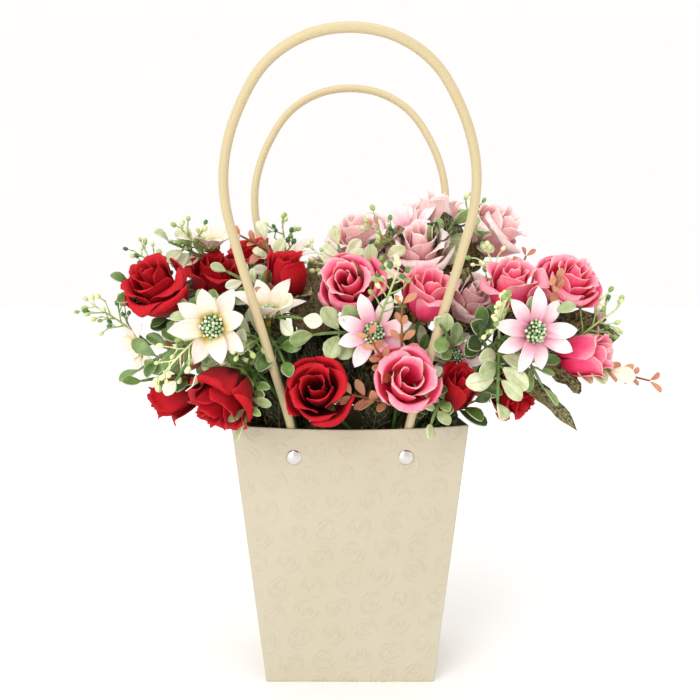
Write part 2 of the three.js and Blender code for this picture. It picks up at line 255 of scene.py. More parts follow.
def pressed_rose(x, z):
    """How far the pressed pattern stands out of the card at a place on a panel."""
    area = ROSE_STEP[0] * ROSE_DROP[1] - ROSE_STEP[1] * ROSE_DROP[0]
    i = (x * ROSE_DROP[1] - z * ROSE_DROP[0]) / area
    j = (z * ROSE_STEP[0] - x * ROSE_STEP[1]) / area
    near = []
    for column in (math.floor(i), math.floor(i) + 1):
        for row in (math.floor(j), math.floor(j) + 1):
            dx = x - column * ROSE_STEP[0] - row * ROSE_DROP[0]
            dz = z - column * ROSE_STEP[1] - row * ROSE_DROP[1]
            near.append((math.hypot(dx, dz), dx, dz, (column * 37 + row * 17) % 7))
    radius, dx, dz, turn = min(near)
    angle = math.atan2(dz, dx) + turn
    spiral = radius / LINE_PITCH - angle / (2 * math.pi) + 0.25 * abs(math.sin(2.5 * angle + turn))
    line = smooth_step(0.26, 0.06, abs(spiral - math.floor(spiral) - 0.5))
    broken = smooth_step(-0.8, 0.0, math.sin(2 * angle + 1.7 * math.floor(spiral) + turn))
    return RELIEF * line * broken * smooth_step(ROSE_RADIUS, ROSE_RADIUS * 0.8, radius)


def sleeve_point(share, z, inset):
    """A point of the sleeve, at a share of the way round it from the front left corner."""
    half = 1 / (2 + 2 * GUSSET_COLUMNS / PANEL_COLUMNS)
    side = GUSSET_COLUMNS / PANEL_COLUMNS * half
    along = share % 1
    if along < half:
        u, v = 2 * along / half - 1, -1
    elif along < half + side:
        u, v = 1, 2 * (along - half) / side - 1
    elif along < 2 * half + side:
        u, v = 1 - 2 * (along - half - side) / half, 1
    else:
        u, v = -1, 1 - 2 * (along - 2 * half - side) / side
    t = z / BAG_HEIGHT
    across = 1 - u * u
    on_panel = abs(v) == 1
    stand = 0
    if not inset:
        if on_panel:
            fade = smooth_step(1, 0.94, abs(u))
            stand = fade * pressed_rose(u * mix(BASE_WIDTH, TOP_WIDTH, t) / 2, z)
        else:
            y = v * mix(BASE_DEPTH, TOP_DEPTH, t) / 2
            fade = smooth_step(1, 0.9, abs(v)) * smooth_step(0, 0.1, abs(v))
            stand = fade * pressed_rose(y + TOP_WIDTH, z)
            fold = abs(y) - BASE_DEPTH / 2 * (1 - z / FLAP)
            if z < FLAP:
                stand -= 0.4 * MM * smooth_step(1.6 * MM, 0, abs(fold))
    half_width = mix(BASE_WIDTH, TOP_WIDTH, t) / 2 - inset + (0 if on_panel else stand)
    half_depth = mix(BASE_DEPTH, TOP_DEPTH, t) / 2 - inset + (stand if on_panel else 0)
    x = u * (half_width - CREASE * t * (1 - abs(v)))
    y = v * (half_depth + BOW * t * across)
    return Vector((x, y, z - RIM_DIP * t * t * across))


def satin_card():
    """Embossed card with a satin film: cream, with a low even sheen and a fine paper tooth; inside the
    sleeve it is painted dark brown, painted shade for the dark inside of the bag."""
    made, tree = new_material("satin_card", {"Specular IOR Level": 0.4, "Sheen Weight": 0.05})
    place = add_node(tree, "TexCoord").outputs["Object"]
    cloud = add_node(tree, "TexNoise", {"Scale": 14, "Detail": 3}, {"Vector": place})
    film = add_node(tree, "ValToRGB", {"stops": [(0.3, "#beb59e"), (0.7, "#c2baa4")]}, {"Fac": cloud})
    # paper fibres are drawn about 0.4 mm apart, coarser than real ones, so that they show
    tooth = add_node(tree, "TexNoise", {"Scale": 1 / (0.4 * MM), "Detail": 4}, {"Vector": place})
    inside = add_node(tree, "Attribute", {"attribute_name": "inside"}).outputs["Fac"]
    # the inside of the sleeve turns dark brown: painted shade inside the bag
    colour = add_node(tree, "MixRGB", {"Color2": linear("#6f6148")}, {"Fac": inside, "Color1": film})
    rough = add_node(tree, "MapRange", {"To Min": 0.42, "To Max": 0.56}, {"Value": tooth})
    return finish_with(made, colour, rough, tooth, 0.12, 0.05 * MM)


sleeve = bmesh.new()
inside_layer = sleeve.verts.layers.float.new("inside")
columns = 2 * (PANEL_COLUMNS + GUSSET_COLUMNS)
rows = OUTER_ROWS + 1 + INNER_ROWS
for vert in bmesh.ops.create_grid(sleeve, x_segments=columns, y_segments=rows, size=1)["verts"]:
    share, row = (vert.co.x + 1) / 2, round((vert.co.y + 1) / 2 * rows)
    if row <= OUTER_ROWS:
        vert.co = sleeve_point(share, BAG_HEIGHT * row / OUTER_ROWS, 0)
    else:
        vert[inside_layer] = 1
        vert.co = sleeve_point(share, mix(BAG_HEIGHT, CARD, (row - OUTER_ROWS - 1) / INNER_ROWS), CARD)
bmesh.ops.remove_doubles(sleeve, verts=sleeve.verts, dist=0.001 * MM)
bmesh.ops.holes_fill(sleeve, edges=[e for e in sleeve.edges if e.is_boundary], sides=0)
bmesh.ops.recalc_face_normals(sleeve, faces=sleeve.faces)
new_piece("bag_body", sleeve, satin_card(), "card")


# ------------------------------------------------------------------ base board and foam
# A loose grey board stiffens the folded bottom. The foam block on it is dry florist's foam, cut with
# a knife, and the stems are pushed into it.


def finish_node(name, material):
    """Gives a piece of the frame that keeps its shape its material."""
    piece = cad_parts[name]
    piece.data.materials.clear()
    piece.data.materials.append(material)


# unbleached board: grey-beige, matt, with short dark fibres
finish_node("base_board", grained("grey_board", {"Roughness": 0.9}, [(0.35, "#9d9583"), (0.6, "#cfc8b6")],
                                  {"Scale": 1 / (0.9 * MM), "Detail": 6}, (0.3, 0.1 * MM)))
# phenolic foam: dark green, matt, with open cells about a millimetre across that crumble
finish_node("foam_block", grained("dry_foam", {"Roughness": 0.95, "Specular IOR Level": 0.1},
                                  [(0.1, "#1e2417"), (0.6, "#3c4730")], {"Scale": 1 / (1.2 * MM)},
                                  (0.8, 0.6 * MM), "TexVoronoi"))


# ------------------------------------------------------------------ handles
# Each handle is one length of soft PVC tube, extruded with fine lengthwise ribs. Its ends are pressed
# flat inside the bag, where the rivets hold them, and it springs up and out into a loop.

HANDLE_RADIUS = 3.15 * MM
RIVET_SPACING = 82 * MM
RIVET_HEIGHT = 177 * MM
TAB_LENGTH = 13 * MM
TAB_THICK = 2.2 * MM
RIBS = 22
RIB_HEIGHT = 0.07 * MM
# half width of the loop against the height above the rivet
HANDLE_LOOP = [
    (41, -6), (42, 14), (46, 34), (56, 76), (67, 122), (76, 160), (81.5, 190), (80.5, 216),
    (71.5, 245), (52.5, 275), (28, 291), (0, 296),
]
CLEARANCE = 0.3 * MM
# in mm: how far below the rim the loop starts to lean out, over what length it takes up the lean, and
# the height from which the lean shortens it in full
LEAN_START = 12
LEAN_BEND = 28
LEAN_FULL = 60
HANDLES = [("front_handle", -1, 18), ("rear_handle", 1, 9)]  # side of the bag, lean in degrees


def smooth_route(points, steps):
    """A smooth line through points, with this many steps between each two."""
    ends = [points[0] * 2 - points[1], *points, points[-1] * 2 - points[-2]]
    route = []
    for a, b, c, d in zip(ends, ends[1:], ends[2:], ends[3:]):
        # knots a square root of each distance apart keep the line from looping
        second = math.sqrt((b - a).length)
        third = second + math.sqrt((c - b).length)
        fourth = third + math.sqrt((d - c).length)
        for step in range(steps):
            t = mix(second, third, step / steps)
            ab = a.lerp(b, t / second)
            bc = b.lerp(c, (t - second) / (third - second))
            cd = c.lerp(d, (t - third) / (fourth - third))
            route.append(ab.lerp(bc, t / third).lerp(bc.lerp(cd, (t - second) / (fourth - second)),
                                                     (t - second) / (third - second)))
    return route + [points[-1]]


def sweep(bm, route, radius_at, sides):
    """A closed tube along a route; radius_at(share along, angle) gives its radius. Returns its points."""
    last = len(route) - 1
    tangents = [(route[min(i + 1, last)] - route[max(i - 1, 0)]).normalized() for i in range(last + 1)]
    normal = tangents[0].orthogonal().normalized()
    rings = []
    for i, tangent in enumerate(tangents):
        normal = (normal - tangent * normal.dot(tangent)).normalized()
        rings.append((route[i], normal, tangent.cross(normal), i / last))
    rings = [rings[0], *rings, rings[-1]]  # the doubled end rings close the tube
    made = bmesh.ops.create_grid(bm, x_segments=sides, y_segments=last + 2, size=1, calc_uvs=True)["verts"]
    for vert in made:
        row = round((vert.co.y + 1) / 2 * (last + 2))
        angle = (vert.co.x + 1) * math.pi
        centre, along, across, share = rings[row]
        radius = radius_at(share, angle) if 0 < row < last + 2 else 0
        vert.co = centre + (along * math.cos(angle) + across * math.sin(angle)) * radius
    bmesh.ops.remove_doubles(bm, verts=made, dist=0.001 * MM)
    return [vert for vert in made if vert.is_valid]


def soft_pvc():
    """Plasticised PVC tube: cream, satin, slightly cloudy, with fine drawn lines along it."""
    made, tree = new_material("soft_pvc", {
        "Specular IOR Level": 0.45, "Subsurface Weight": 0.12, "Subsurface Scale": 2 * MM,
        "Subsurface Radius": (1, 0.8, 0.5),
    })
    along = add_node(tree, "UVMap", {"uv_map": "sheet"})
    stretched = add_node(tree, "Mapping", {"Scale": (40, 0.6, 1)}, {"Vector": along})
    drawn = add_node(tree, "TexNoise", {"Scale": 1, "Detail": 3}, {"Vector": stretched})
    tone = add_node(tree, "ValToRGB", {"stops": [(0.2, "#c6b48b"), (0.8, "#cfc199")]}, {"Fac": drawn})
    rough = add_node(tree, "MapRange", {"To Min": 0.3, "To Max": 0.45}, {"Value": drawn})
    return finish_with(made, tone, rough, drawn, 0.15, 0.1 * MM)


def handle_route(side, lean):
    inner = panel_face(RIVET_HEIGHT, RIVET_SPACING / 2) - CARD - CLEARANCE
    start = inner - HANDLE_RADIUS
    slope = math.tan(math.radians(lean))
    upright = (BAG_HEIGHT - RIVET_HEIGHT) / MM
    half = []
    for x, h in HANDLE_LOOP:
        above = max(0, h - upright + LEAN_START)
        out = slope * above * above / (above + LEAN_BEND)
        rise = h * mix(1, math.cos(math.radians(lean)), min(1, above / LEAN_FULL))
        half.append(Vector((x * MM, side * (start + out * MM), RIVET_HEIGHT + rise * MM)))
    left = [Vector((-p.x, p.y, p.z)) for p in half]
    return smooth_route(left + half[-2::-1], 8), inner


pvc = soft_pvc()
for name, side, lean in HANDLES:
    tube = bmesh.new()
    tube.loops.layers.uv.new("sheet")
    route, inner = handle_route(side, lean)
    sweep(tube, route, lambda share, angle: HANDLE_RADIUS + RIB_HEIGHT * math.cos(RIBS * angle), 3 * RIBS)
    flat_top = RIVET_HEIGHT + TAB_LENGTH / 2
    squeeze = TAB_THICK / (2 * HANDLE_RADIUS)
    for vert in tube.verts:
        if vert.co.z < BAG_HEIGHT:
            share = mix(squeeze, 1, smooth_step(0, 10 * MM, vert.co.z - flat_top))
            vert.co.y = side * (inner - (inner - abs(vert.co.y)) * share)
    new_piece(name, tube, pvc, "tube")


# ------------------------------------------------------------------ rivets
# A two-part cap rivet: the domed cap outside is pressed onto a tubular shank, whose flat head is
# inside. Nickel-plated steel.

CAP_RADIUS = 5.6 * MM
CAP_HEIGHT = 2 * MM
SHANK_RADIUS = 1.6 * MM


def nickel_plate():
    """Bright nickel on pressed steel: mirror-like, faintly warm, with fine handling scratches."""
    made, tree = new_material("nickel_plate", {"Metallic": 1, "Base Color": linear("#d6d2cf")})
    place = add_node(tree, "TexCoord").outputs["Object"]
    scratch = add_node(tree, "TexNoise", {"Scale": 1 / (0.5 * MM), "Detail": 5}, {"Vector": place})
    rough = add_node(tree, "MapRange", {"To Min": 0.12, "To Max": 0.26}, {"Value": scratch})
    return finish_with(made, None, rough, scratch, 0.05, 0.05 * MM)


nickel = nickel_plate()
for name in [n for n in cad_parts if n.startswith("rivet")]:
    low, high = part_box(name)
    side = 1 if low.y > 0 else -1
    middle = (low + high) / 2
    cap_face = (high.y if side > 0 else -low.y) - CAP_HEIGHT
    back = -(low.y if side > 0 else -high.y) + cap_face
    rivet = bmesh.new()
    dome = [(CAP_RADIUS * math.cos(math.radians(a)), CAP_HEIGHT * math.sin(math.radians(a)))
            for a in range(15, 90, 9)]
    # radius and height along the outline, from the flat inner head to the top of the cap
    profile = [(0, -back), (3.6 * MM, -back), (4 * MM, 0.4 * MM - back), (3.8 * MM, 1 * MM - back),
               (SHANK_RADIUS, 1 * MM - back), (SHANK_RADIUS, 0.1 * MM), (CAP_RADIUS - 0.3 * MM, 0.05 * MM),
               (CAP_RADIUS, 0.25 * MM), *dome, (0, CAP_HEIGHT)]
    points = [rivet.verts.new((r, 0, h)) for r, h in profile]
    lines = [rivet.edges.new(pair) for pair in zip(points, points[1:])]
    bmesh.ops.spin(rivet, geom=points + lines, cent=(0, 0, 0), axis=(0, 0, 1), angle=2 * math.pi,
                   steps=40, use_merge=True)
    bmesh.ops.remove_doubles(rivet, verts=rivet.verts, dist=0.001 * MM)
    bmesh.ops.transform(rivet, verts=rivet.verts, matrix=(
        Matrix.Translation((middle.x, side * cap_face, middle.z))
        @ Matrix.Rotation(-side * math.pi / 2, 4, "X")))
    bmesh.ops.recalc_face_normals(rivet, faces=rivet.faces)
    new_piece(name, rivet, nickel, "nickel")


# ------------------------------------------------------------------ stems
# Each bunch is one moulding of polyethylene over wire: a trunk that stands in the foam, and a thin
# branch that bends out to the back of each flower.

TRUNK_TOP = 128 * MM
TRUNK_RADIUS = 3.2 * MM
BRANCH_RADIUS = 1.4 * MM
UP = Vector((0, 0, 1))

# how far a head's base lies behind its centre, for half a diameter of 1
BACK = {"rose": 0.74, "bud": 1.08, "star": 0.34, "cup_star": 0.6}

# name: form, diameter in mm, azimuth and elevation that the head faces, in degrees from the front
# and from level; openness from 0, a closed bud, to 1; petals; and roll about its own axis
HEADS = {
    "red_rose_1": ("rose", 54, -25, 42, 0.75, 15, 200),
    "red_rose_2": ("rose", 50, 25, 62, 0.55, 12, 20),
    "red_rose_3": ("bud", 35, 10, 70, 0.1, 9, 60),
    "red_rose_4": ("rose", 54, -38, -42, 0.7, 13, 140),
    "red_rose_5": ("bud", 36, -78, -28, 0.35, 10, 10),
    "red_rose_6": ("rose", 50, -6, 26, 1.0, 13, 250),
    "red_rose_7": ("bud", 30, 25, 52, 0.15, 9, 100),
    "red_rose_8": ("rose", 44, 50, -25, 0.8, 14, 40),
    "red_rose_9": ("rose", 46, -20, 70, 0.6, 13, 330),
    "red_rose_10": ("rose", 50, -155, 22, 0.9, 16, 80),
    "pink_rose_1": ("rose", 51, -8, 20, 0.95, 14, 30),
    "pink_rose_2": ("bud", 36, 15, 50, 0.4, 10, 120),
    "pink_rose_3": ("rose", 50, 6, 24, 0.85, 11, 160),
    "pink_rose_4": ("rose", 46, 0, 52, 0.45, 12, 280),
    "pink_rose_5": ("rose", 52, 20, 42, 0.95, 17, 70),
    "pink_rose_6": ("bud", 36, 58, 6, 0.3, 10, 120),
    "pink_rose_7": ("rose", 50, 172, 20, 0.95, 16, 0),
    "pale_rose_1": ("rose", 54, -10, 45, 0.95, 15, 110),
    "pale_rose_2": ("rose", 54, -30, 50, 0.8, 14, 220),
    "pale_rose_3": ("bud", 41, 10, 80, 0.3, 10, 0),
    "pale_rose_4": ("rose", 52, 60, 40, 0.9, 13, 300),
    "pale_rose_5": ("rose", 46, 20, 42, 0.85, 15, 45),
    "pale_rose_6": ("rose", 48, 140, 28, 0.9, 16, 180),
    "white_star_1": ("star", 58, 6, 4, 1, 8, 12),
    "white_star_2": ("cup_star", 54, 8, 58, 0.4, 7, 0),
    "white_star_3": ("cup_star", 52, -66, -14, 0.75, 8, 30),
    "white_star_4": ("cup_star", 52, 6, 68, 0.3, 8, 15),
    "white_star_5": ("cup_star", 48, -6, 66, 0.5, 8, 50),
    "white_star_6": ("star", 56, -170, 32, 1, 8, 0),
    "pink_star_1": ("star", 56, 0, 10, 1, 8, 20),
    "pink_star_2": ("star", 58, 18, 0, 1, 9, 8),
    "pink_star_3": ("star", 52, 62, 12, 1, 9, 0),
    "pink_star_4": ("star", 46, -20, 6, 1, 8, 40),
    "pink_star_5": ("cup_star", 54, -8, 60, 0.4, 8, 25),
}


def facing(azimuth, elevation):
    a, e = math.radians(azimuth), math.radians(elevation)
    return Vector((math.sin(a) * math.cos(e), -math.cos(a) * math.cos(e), math.sin(e)))


def middle_of(name):
    low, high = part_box(name)
    return (low + high) / 2


def moulded_stem():
    """Polyethylene moulded over wire: mid green, satin, paler in patches, with a fine draw grain."""
    made, tree = new_material("moulded_stem", {"Roughness": 0.5, "Specular IOR Level": 0.4})
    place = add_node(tree, "TexCoord").outputs["Object"]
    patch = add_node(tree, "TexNoise", {"Scale": 1 / (22 * MM), "Detail": 3}, {"Vector": place})
    tone = add_node(tree, "ValToRGB", {"stops": [(0.3, "#2f4a1d"), (0.5, "#4d6f2c"), (0.7, "#6f8f45")]},
                    {"Fac": patch})
    grain = add_node(tree, "TexNoise", {"Scale": 1 / (0.5 * MM)}, {"Vector": place})
    return finish_with(made, tone, None, grain, 0.2, 0.1 * MM)


def bend(start, rise, arrive, end, steps):
    """A cubic curve from start towards rise and from arrive into end."""
    return [start * (1 - t) ** 3 + rise * (3 * t * (1 - t) ** 2) + arrive * (3 * t * t * (1 - t))
            + end * t ** 3 for t in [i / steps for i in range(steps + 1)]]


stem_green = moulded_stem()
branch_points = []  # what the twigs are taped to
RED_AMONG_PINK = ("red_rose_6", "red_rose_7", "red_rose_8")
BUNCHES = {
    "red_bunch_stem": [n for n in HEADS if n.startswith(("red", "white")) and n not in RED_AMONG_PINK],
    "pink_bunch_stem": [n for n in HEADS if n.startswith("pink") or n in RED_AMONG_PINK],
    "pale_bunch_stem": [n for n in HEADS if n.startswith("pale")],
}
for name, heads in BUNCHES.items():
    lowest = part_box(name)[0].z
    feet = [v.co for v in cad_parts[name].data.vertices if v.co.z < lowest + 1 * MM]
    foot = sum(feet, Vector()) / len(feet)
    bunch = bmesh.new()
    bunch.loops.layers.uv.new("sheet")
    top = Vector((foot.x, foot.y, TRUNK_TOP))
    sweep(bunch, [foot, top.lerp(foot, 0.5), top, top + UP * 4 * MM], lambda share, angle: TRUNK_RADIUS, 12)
    for head in heads:
        form, diameter, azimuth, elevation = HEADS[head][:4]
        direction = facing(azimuth, elevation)
        base = middle_of(head) - direction * (BACK[form] * diameter * MM / 2)
        reach = (base - top).length
        line = bend(top, top + UP * reach * 0.42, base - direction * reach * 0.22, base, 14)
        sweep(bunch, line, lambda share, angle: BRANCH_RADIUS * mix(1.25, 0.9, share), 7)
        branch_points += line[4:]
    new_piece(name, bunch, stem_green, "stem")


# ------------------------------------------------------------------ roses
# Petals are die-cut from stiffened polyester silk, pressed on hot moulds into cups with rolled rims
# and threaded one on another in a spiral. Their cut edges fray a little. Each head sits in a green
# moulded calyx with five narrow sepals.

SILK_THICKNESS = 0.25 * MM
CALYX_THICKNESS = 0.5 * MM


def pressed_silk(name, stops, edge, glow=0.15):
    """Dyed polyester silk: matt with a soft nap, its dye deepest in the cup and thinnest along the cut
    edge, with a fine weave and pressed veins that run from the foot of the petal. On the red silk the
    near-black first stops at the foot of the petals are painted shade of the cup's creases as well as
    dye. Glow is the share of light that seeps through the cloth."""
    made, tree = new_material(name, {
        "Roughness": 0.72, "Specular IOR Level": 0.25, "Sheen Weight": 0.05 + 0.5 * glow,
        "Sheen Roughness": 0.5, "Sheen Tint": linear(edge), "Subsurface Weight": glow,
        "Subsurface Scale": 1.2 * MM, "Subsurface Radius": (1, 0.7, 0.7),
    })
    sheet = add_node(tree, "UVMap", {"uv_map": "sheet"})
    up_sheet = add_node(tree, "SeparateXYZ", {}, {"Vector": sheet}).outputs["Y"]
    tint = add_node(tree, "Attribute", {"attribute_name": "tint"}).outputs["Fac"]
    place = add_node(tree, "TexCoord").outputs["Object"]
    cloud = add_node(tree, "TexNoise", {"Scale": 1 / (9 * MM), "Detail": 3}, {"Vector": place})
    veins = add_node(tree, "Mapping", {"Scale": (34, 3, 1)}, {"Vector": sheet})
    vein = add_node(tree, "TexNoise", {"Scale": 1, "Detail": 2}, {"Vector": veins})
    dyed = add_node(tree, "Math", {"operation": "ADD"}, {0: swayed(tree, up_sheet, cloud, 0.3), 1: tint})
    tone = add_node(tree, "ValToRGB", {"stops": stops}, {"Fac": dyed})
    # the thread ends along the cut edge: a pale line near the sheet's rim
    rim = add_node(tree, "MapRange", {"From Min": 0.95, "From Max": 1, "To Max": 0.6}, {"Value": up_sheet})
    frayed = add_node(tree, "MixRGB", {"Color2": linear(edge)}, {"Fac": rim, "Color1": tone})
    streak = add_node(tree, "MapRange", {"From Min": 0.3, "From Max": 0.7, "To Min": 0.86, "To Max": 1.1},
                      {"Value": vein})
    streaked = add_node(tree, "MixRGB", {"blend_type": "MULTIPLY", "Fac": 1.0},
                        {"Color1": frayed, "Color2": streak})
    # the weave is drawn 0.6 mm apart, coarser than the real 0.2 mm, so that it shows
    weave = add_node(tree, "TexNoise", {"Scale": 1 / (0.6 * MM), "Detail": 2}, {"Vector": place})
    height = add_node(tree, "Math", {"operation": "ADD"}, {0: weave, 1: vein})
    return finish_with(made, streaked, None, height, 0.25, 0.25 * MM)


def new_flower():
    """An empty bmesh with the layers that every flower's materials read."""
    bm = bmesh.new()
    bm.loops.layers.uv.new("sheet")
    bm.verts.layers.float.new("tint")
    return bm


def paint(bm, verts, tint):
    """Sets how light the material is on these points."""
    layer = bm.verts.layers.float["tint"]
    for vert in verts:
        vert[layer] = tint


def turned(out, side, up, turn):
    """A point this far out, aside and up from a head's axis, turned round the axis."""
    return Vector((out * math.cos(turn) - side * math.sin(turn),
                   out * math.sin(turn) + side * math.cos(turn), up))


def rose_petal(bm, draw, place_in_spiral, openness, turn):
    """One petal: a cupped grid round the axis of a head of radius 1, with a rolled, frayed rim."""
    q = place_in_spiral
    half_angle = mix(1.75, 0.78, q ** 0.6) * draw.uniform(0.92, 1.08)
    lean = draw.uniform(-0.05, 0.06) * q
    wave, wave_size = draw.uniform(0, 6.3), draw.uniform(0.02, 0.05) * q
    roll = mix(0.2, 2.4 * mix(0.45, 1, openness), q)
    corner = draw.uniform(0.05, 0.16) * q
    height = draw.uniform(-0.05, 0.05)
    point = draw.uniform(0, 0.09) * q
    tuck = draw.uniform(0.05, 0.09)
    own = draw.uniform(0, 99)
    control = [
        Vector((mix(0.05, 0.16, q), -0.66)),
        Vector((mix(0.26, 0.84, q), mix(-0.6, -0.5, q))),
        Vector((mix(0.16, mix(0.6, 0.86, openness), q), mix(0.3, 0.34, q))),
        Vector((mix(0.11, mix(0.62, 1.0, openness), q) + lean,
                mix(0.64, mix(0.6, 0.12, openness), q) + height)),
    ]
    lip = 0.84

    def profile(t):
        share = min(t, lip) / lip
        line = [control[i].lerp(control[i + 1], share) for i in range(3)]
        line = [line[0].lerp(line[1], share), line[1].lerp(line[2], share)]
        spot = line[0].lerp(line[1], share)
        if t <= lip:
            return spot
        heading = (line[1] - line[0]).normalized()
        outward = Vector((heading.y, -heading.x))
        angle = (t - lip) / (1 - lip) * roll
        curl = (1 - lip) * 1.5 / max(roll, 0.2)
        return spot + (heading * math.sin(angle) + outward * (1 - math.cos(angle))) * curl

    def place(s, t):
        rounded = t * (1 - 0.2 * abs(s) ** 2.4 - 0.1 * abs(s) ** 7) + point * t * (1 - abs(s)) ** 2
        if t > 0.99:
            rounded += draw.uniform(-0.038, 0.016)
        side = s * (1 + (draw.uniform(-0.02, 0.02) if abs(s) > 0.99 else 0))
        spot = profile(min(1.04, rounded))
        crumple = noise.noise_vector(Vector((side * 1.6, rounded * 2.2, own))) * 0.11 * rounded * q
        back = max(0, (abs(s) - 0.55) / 0.45) ** 2 * corner * rounded
        ripple = wave_size * math.sin(3 * s + wave) * rounded ** 2
        radius = spot.x + tuck * s * mix(1, 0.7, q) + ripple + back
        width = mix(0.5, 1, math.sin(min(1, rounded * 1.3) * math.pi / 2))
        return turned(radius, 0, spot.y - back * 0.4, turn + side * half_angle * width) + crumple

    shade = draw.uniform(-0.07, 0.07)
    paint(bm, bent_grid(bm, 15, 11, place), shade + 0.22 * (q - 0.55))


def set_in_place(name, roll):
    """The matrix from a head of radius 1 facing +Z to its place in the bouquet."""
    diameter, azimuth, elevation = HEADS[name][1:4]
    direction = facing(azimuth, elevation)
    turn = direction.to_track_quat("Z", "Y").to_matrix().to_4x4()
    return (Matrix.Translation(middle_of(name)) @ turn @ Matrix.Rotation(math.radians(roll), 4, "Z")
            @ Matrix.Scale(diameter * MM / 2, 4))


SILKS = {
    # red: the near-black first stops at the petals' foot are dye and painted shade of the cup's creases
    "red": (pressed_silk("red_silk", [(0.05, "#1c0208"), (0.32, "#5e040e"), (0.6, "#a20815"),
                                      (0.95, "#c40c1e")], "#bd2a37"), "petal_red"),
    "pink": (pressed_silk("pink_silk", [(0.05, "#b8052e"), (0.35, "#f01c56"), (0.68, "#ff5486"),
                                        (0.95, "#ff9fb0")], "#fbd8cc"), "petal_pink"),
    "pale": (pressed_silk("pale_silk", [(0.05, "#f47f98"), (0.35, "#ffa4ae"), (0.68, "#ffc3c6"),
                                        (0.95, "#ffdcd8")], "#fff0ea", 0.5), "petal_pale"),
}
GOLDEN_TURN = math.pi * (3 - math.sqrt(5))


def moulded_calyx():
    """Soft moulded polyethylene: yellow-green, satin, darker towards the stem."""
    made, tree = new_material("moulded_calyx", {"Roughness": 0.55, "Specular IOR Level": 0.4})
    sheet = add_node(tree, "UVMap", {"uv_map": "sheet"})
    split = add_node(tree, "SeparateXYZ", {}, {"Vector": sheet})
    tone = add_node(tree, "ValToRGB", {"stops": [(0, "#4c6a2c"), (0.5, "#76873a"), (1, "#9aa35a")]},
                    {"Fac": split.outputs["Y"]})
    place = add_node(tree, "TexCoord").outputs["Object"]
    grain = add_node(tree, "TexNoise", {"Scale": 1 / (0.6 * MM)}, {"Vector": place})
    return finish_with(made, tone, None, grain, 0.25, 0.15 * MM)


calyx_green = moulded_calyx()
noise.seed_set(7)  # the petals' crumple is the same on each run
draw = random.Random(11)
for name, (form, diameter, azimuth, elevation, openness, petals, roll) in HEADS.items():
    if "rose" not in name:
        continue
    silk, slot = SILKS[name.split("_")[0]]
    head = new_flower()
    hollow = max(0, 0.035 * (15 - petals))  # heads with few petals lack the tight inner ones
    for i in range(petals):
        q = mix(hollow, 1, i / (petals - 1))
        rose_petal(head, draw, q, openness, i * GOLDEN_TURN + draw.uniform(-0.2, 0.2))
    bmesh.ops.scale(head, verts=head.verts, vec=(1.3, 1.3, 1.5) if form == "bud" else (1.08, 1.08, 1.08))
    bmesh.ops.transform(head, verts=head.verts, matrix=set_in_place(name, roll))
    new_piece(name, head, silk, slot, SILK_THICKNESS)

    calyx = new_flower()
    depth = 1.0 if form == "bud" else 0.72
    girth = 0.5 if form == "bud" else 0.62
    for i in range(5):
        turn = i * 2 * math.pi / 5
        spread = draw.uniform(0.85, 1.25)

        def sepal(s, t):
            radius = mix(0.1, girth * spread, t)
            width = 0.17 * (1 - t ** 1.6) * (0.6 + 0.8 * t)
            rise = -depth + mix(0.02, 0.3, t) * (2 - spread) - 0.12 * math.sin(math.pi * t) * 0.5
            return turned(radius, s * width, rise - 0.03 * s * s, turn)

        bent_grid(calyx, 4, 7, sepal)
    bmesh.ops.transform(calyx, verts=calyx.verts, matrix=set_in_place(name, roll))
    axis, unit = facing(azimuth, elevation), diameter * MM / 2
    base = middle_of(name) - axis * depth * diameter * MM / 2
    sweep(calyx, [base - axis * 0.22 * unit, base - axis * 0.1 * unit, base, base + axis * 0.12 * unit],
          lambda share, angle: unit * (0.08 + 0.14 * math.sin(math.pi * share * 0.8)), 10)
    new_piece(name + "_calyx", calyx, calyx_green, "stem", CALYX_THICKNESS)


# ------------------------------------------------------------------ star flowers
# Each star flower has one or two layers of pointed silk petals, heat-pressed with a shallow trough,
# round a moulded boss that carries a dome of small green beads. A toothed yellow calyx holds it.

BEADS = 34
BOSS = 0.3  # radius of the bead dome, for a head of radius 1
STAR_SILK_THICKNESS = 0.4 * MM

STAR_SILKS = {
    "white": (pressed_silk("ivory_silk", [(0.02, "#a8822a"), (0.16, "#cfb45c"), (0.34, "#f0e0c8"),
                                          (0.6, "#f5e4da"), (1, "#f7e9e3")], "#f6eae3"), "petal_white"),
    "pink": (pressed_silk("blush_silk", [(0.02, "#9c4a5c"), (0.2, "#d98ba0"), (0.42, "#efc0ca"),
                                         (0.68, "#f8e6e8"), (1, "#fbf2f0")], "#f8f0ee"), "petal_blush"),
}


def sprayed_plastic(name, settings, stops, grain, sway, bump):
    """Moulded plastic: the tint of each point picks its place between the stops, a grain shifts it by up
    to half of sway either way, and the same grain raises the surface."""
    made, tree = new_material(name, settings)
    tint = add_node(tree, "Attribute", {"attribute_name": "tint"}).outputs["Fac"]
    place = add_node(tree, "TexCoord").outputs["Object"]
    cloud = add_node(tree, "TexNoise", grain, {"Vector": place})
    tone = add_node(tree, "ValToRGB", {"stops": stops}, {"Fac": swayed(tree, tint, cloud, sway)})
    return finish_with(made, tone, None, cloud, *bump)


def dome_point(i, count, radius, height):
    """The i-th of count points spread evenly over a dome, in a sunflower's order."""
    out = math.sqrt((i + 0.5) / count)
    turn = i * GOLDEN_TURN
    return Vector((radius * out * math.cos(turn), radius * out * math.sin(turn),
                   height * math.sqrt(max(0, 1 - out * out))))


# glossy moulded beads, pale green with lower halves painted darker as painted shade, over a brown-green
# boss
boss_green = sprayed_plastic("moulded_boss", {"Roughness": 0.35, "Specular IOR Level": 0.5}, [
    (0, "#2e2310"), (0.28, "#5f5122"), (0.5, "#6f9460"), (0.75, "#b5d2a0"), (1, "#e2edca"),
], {"Scale": 1 / (0.7 * MM)}, 0.3, (0.2, 0.2 * MM))
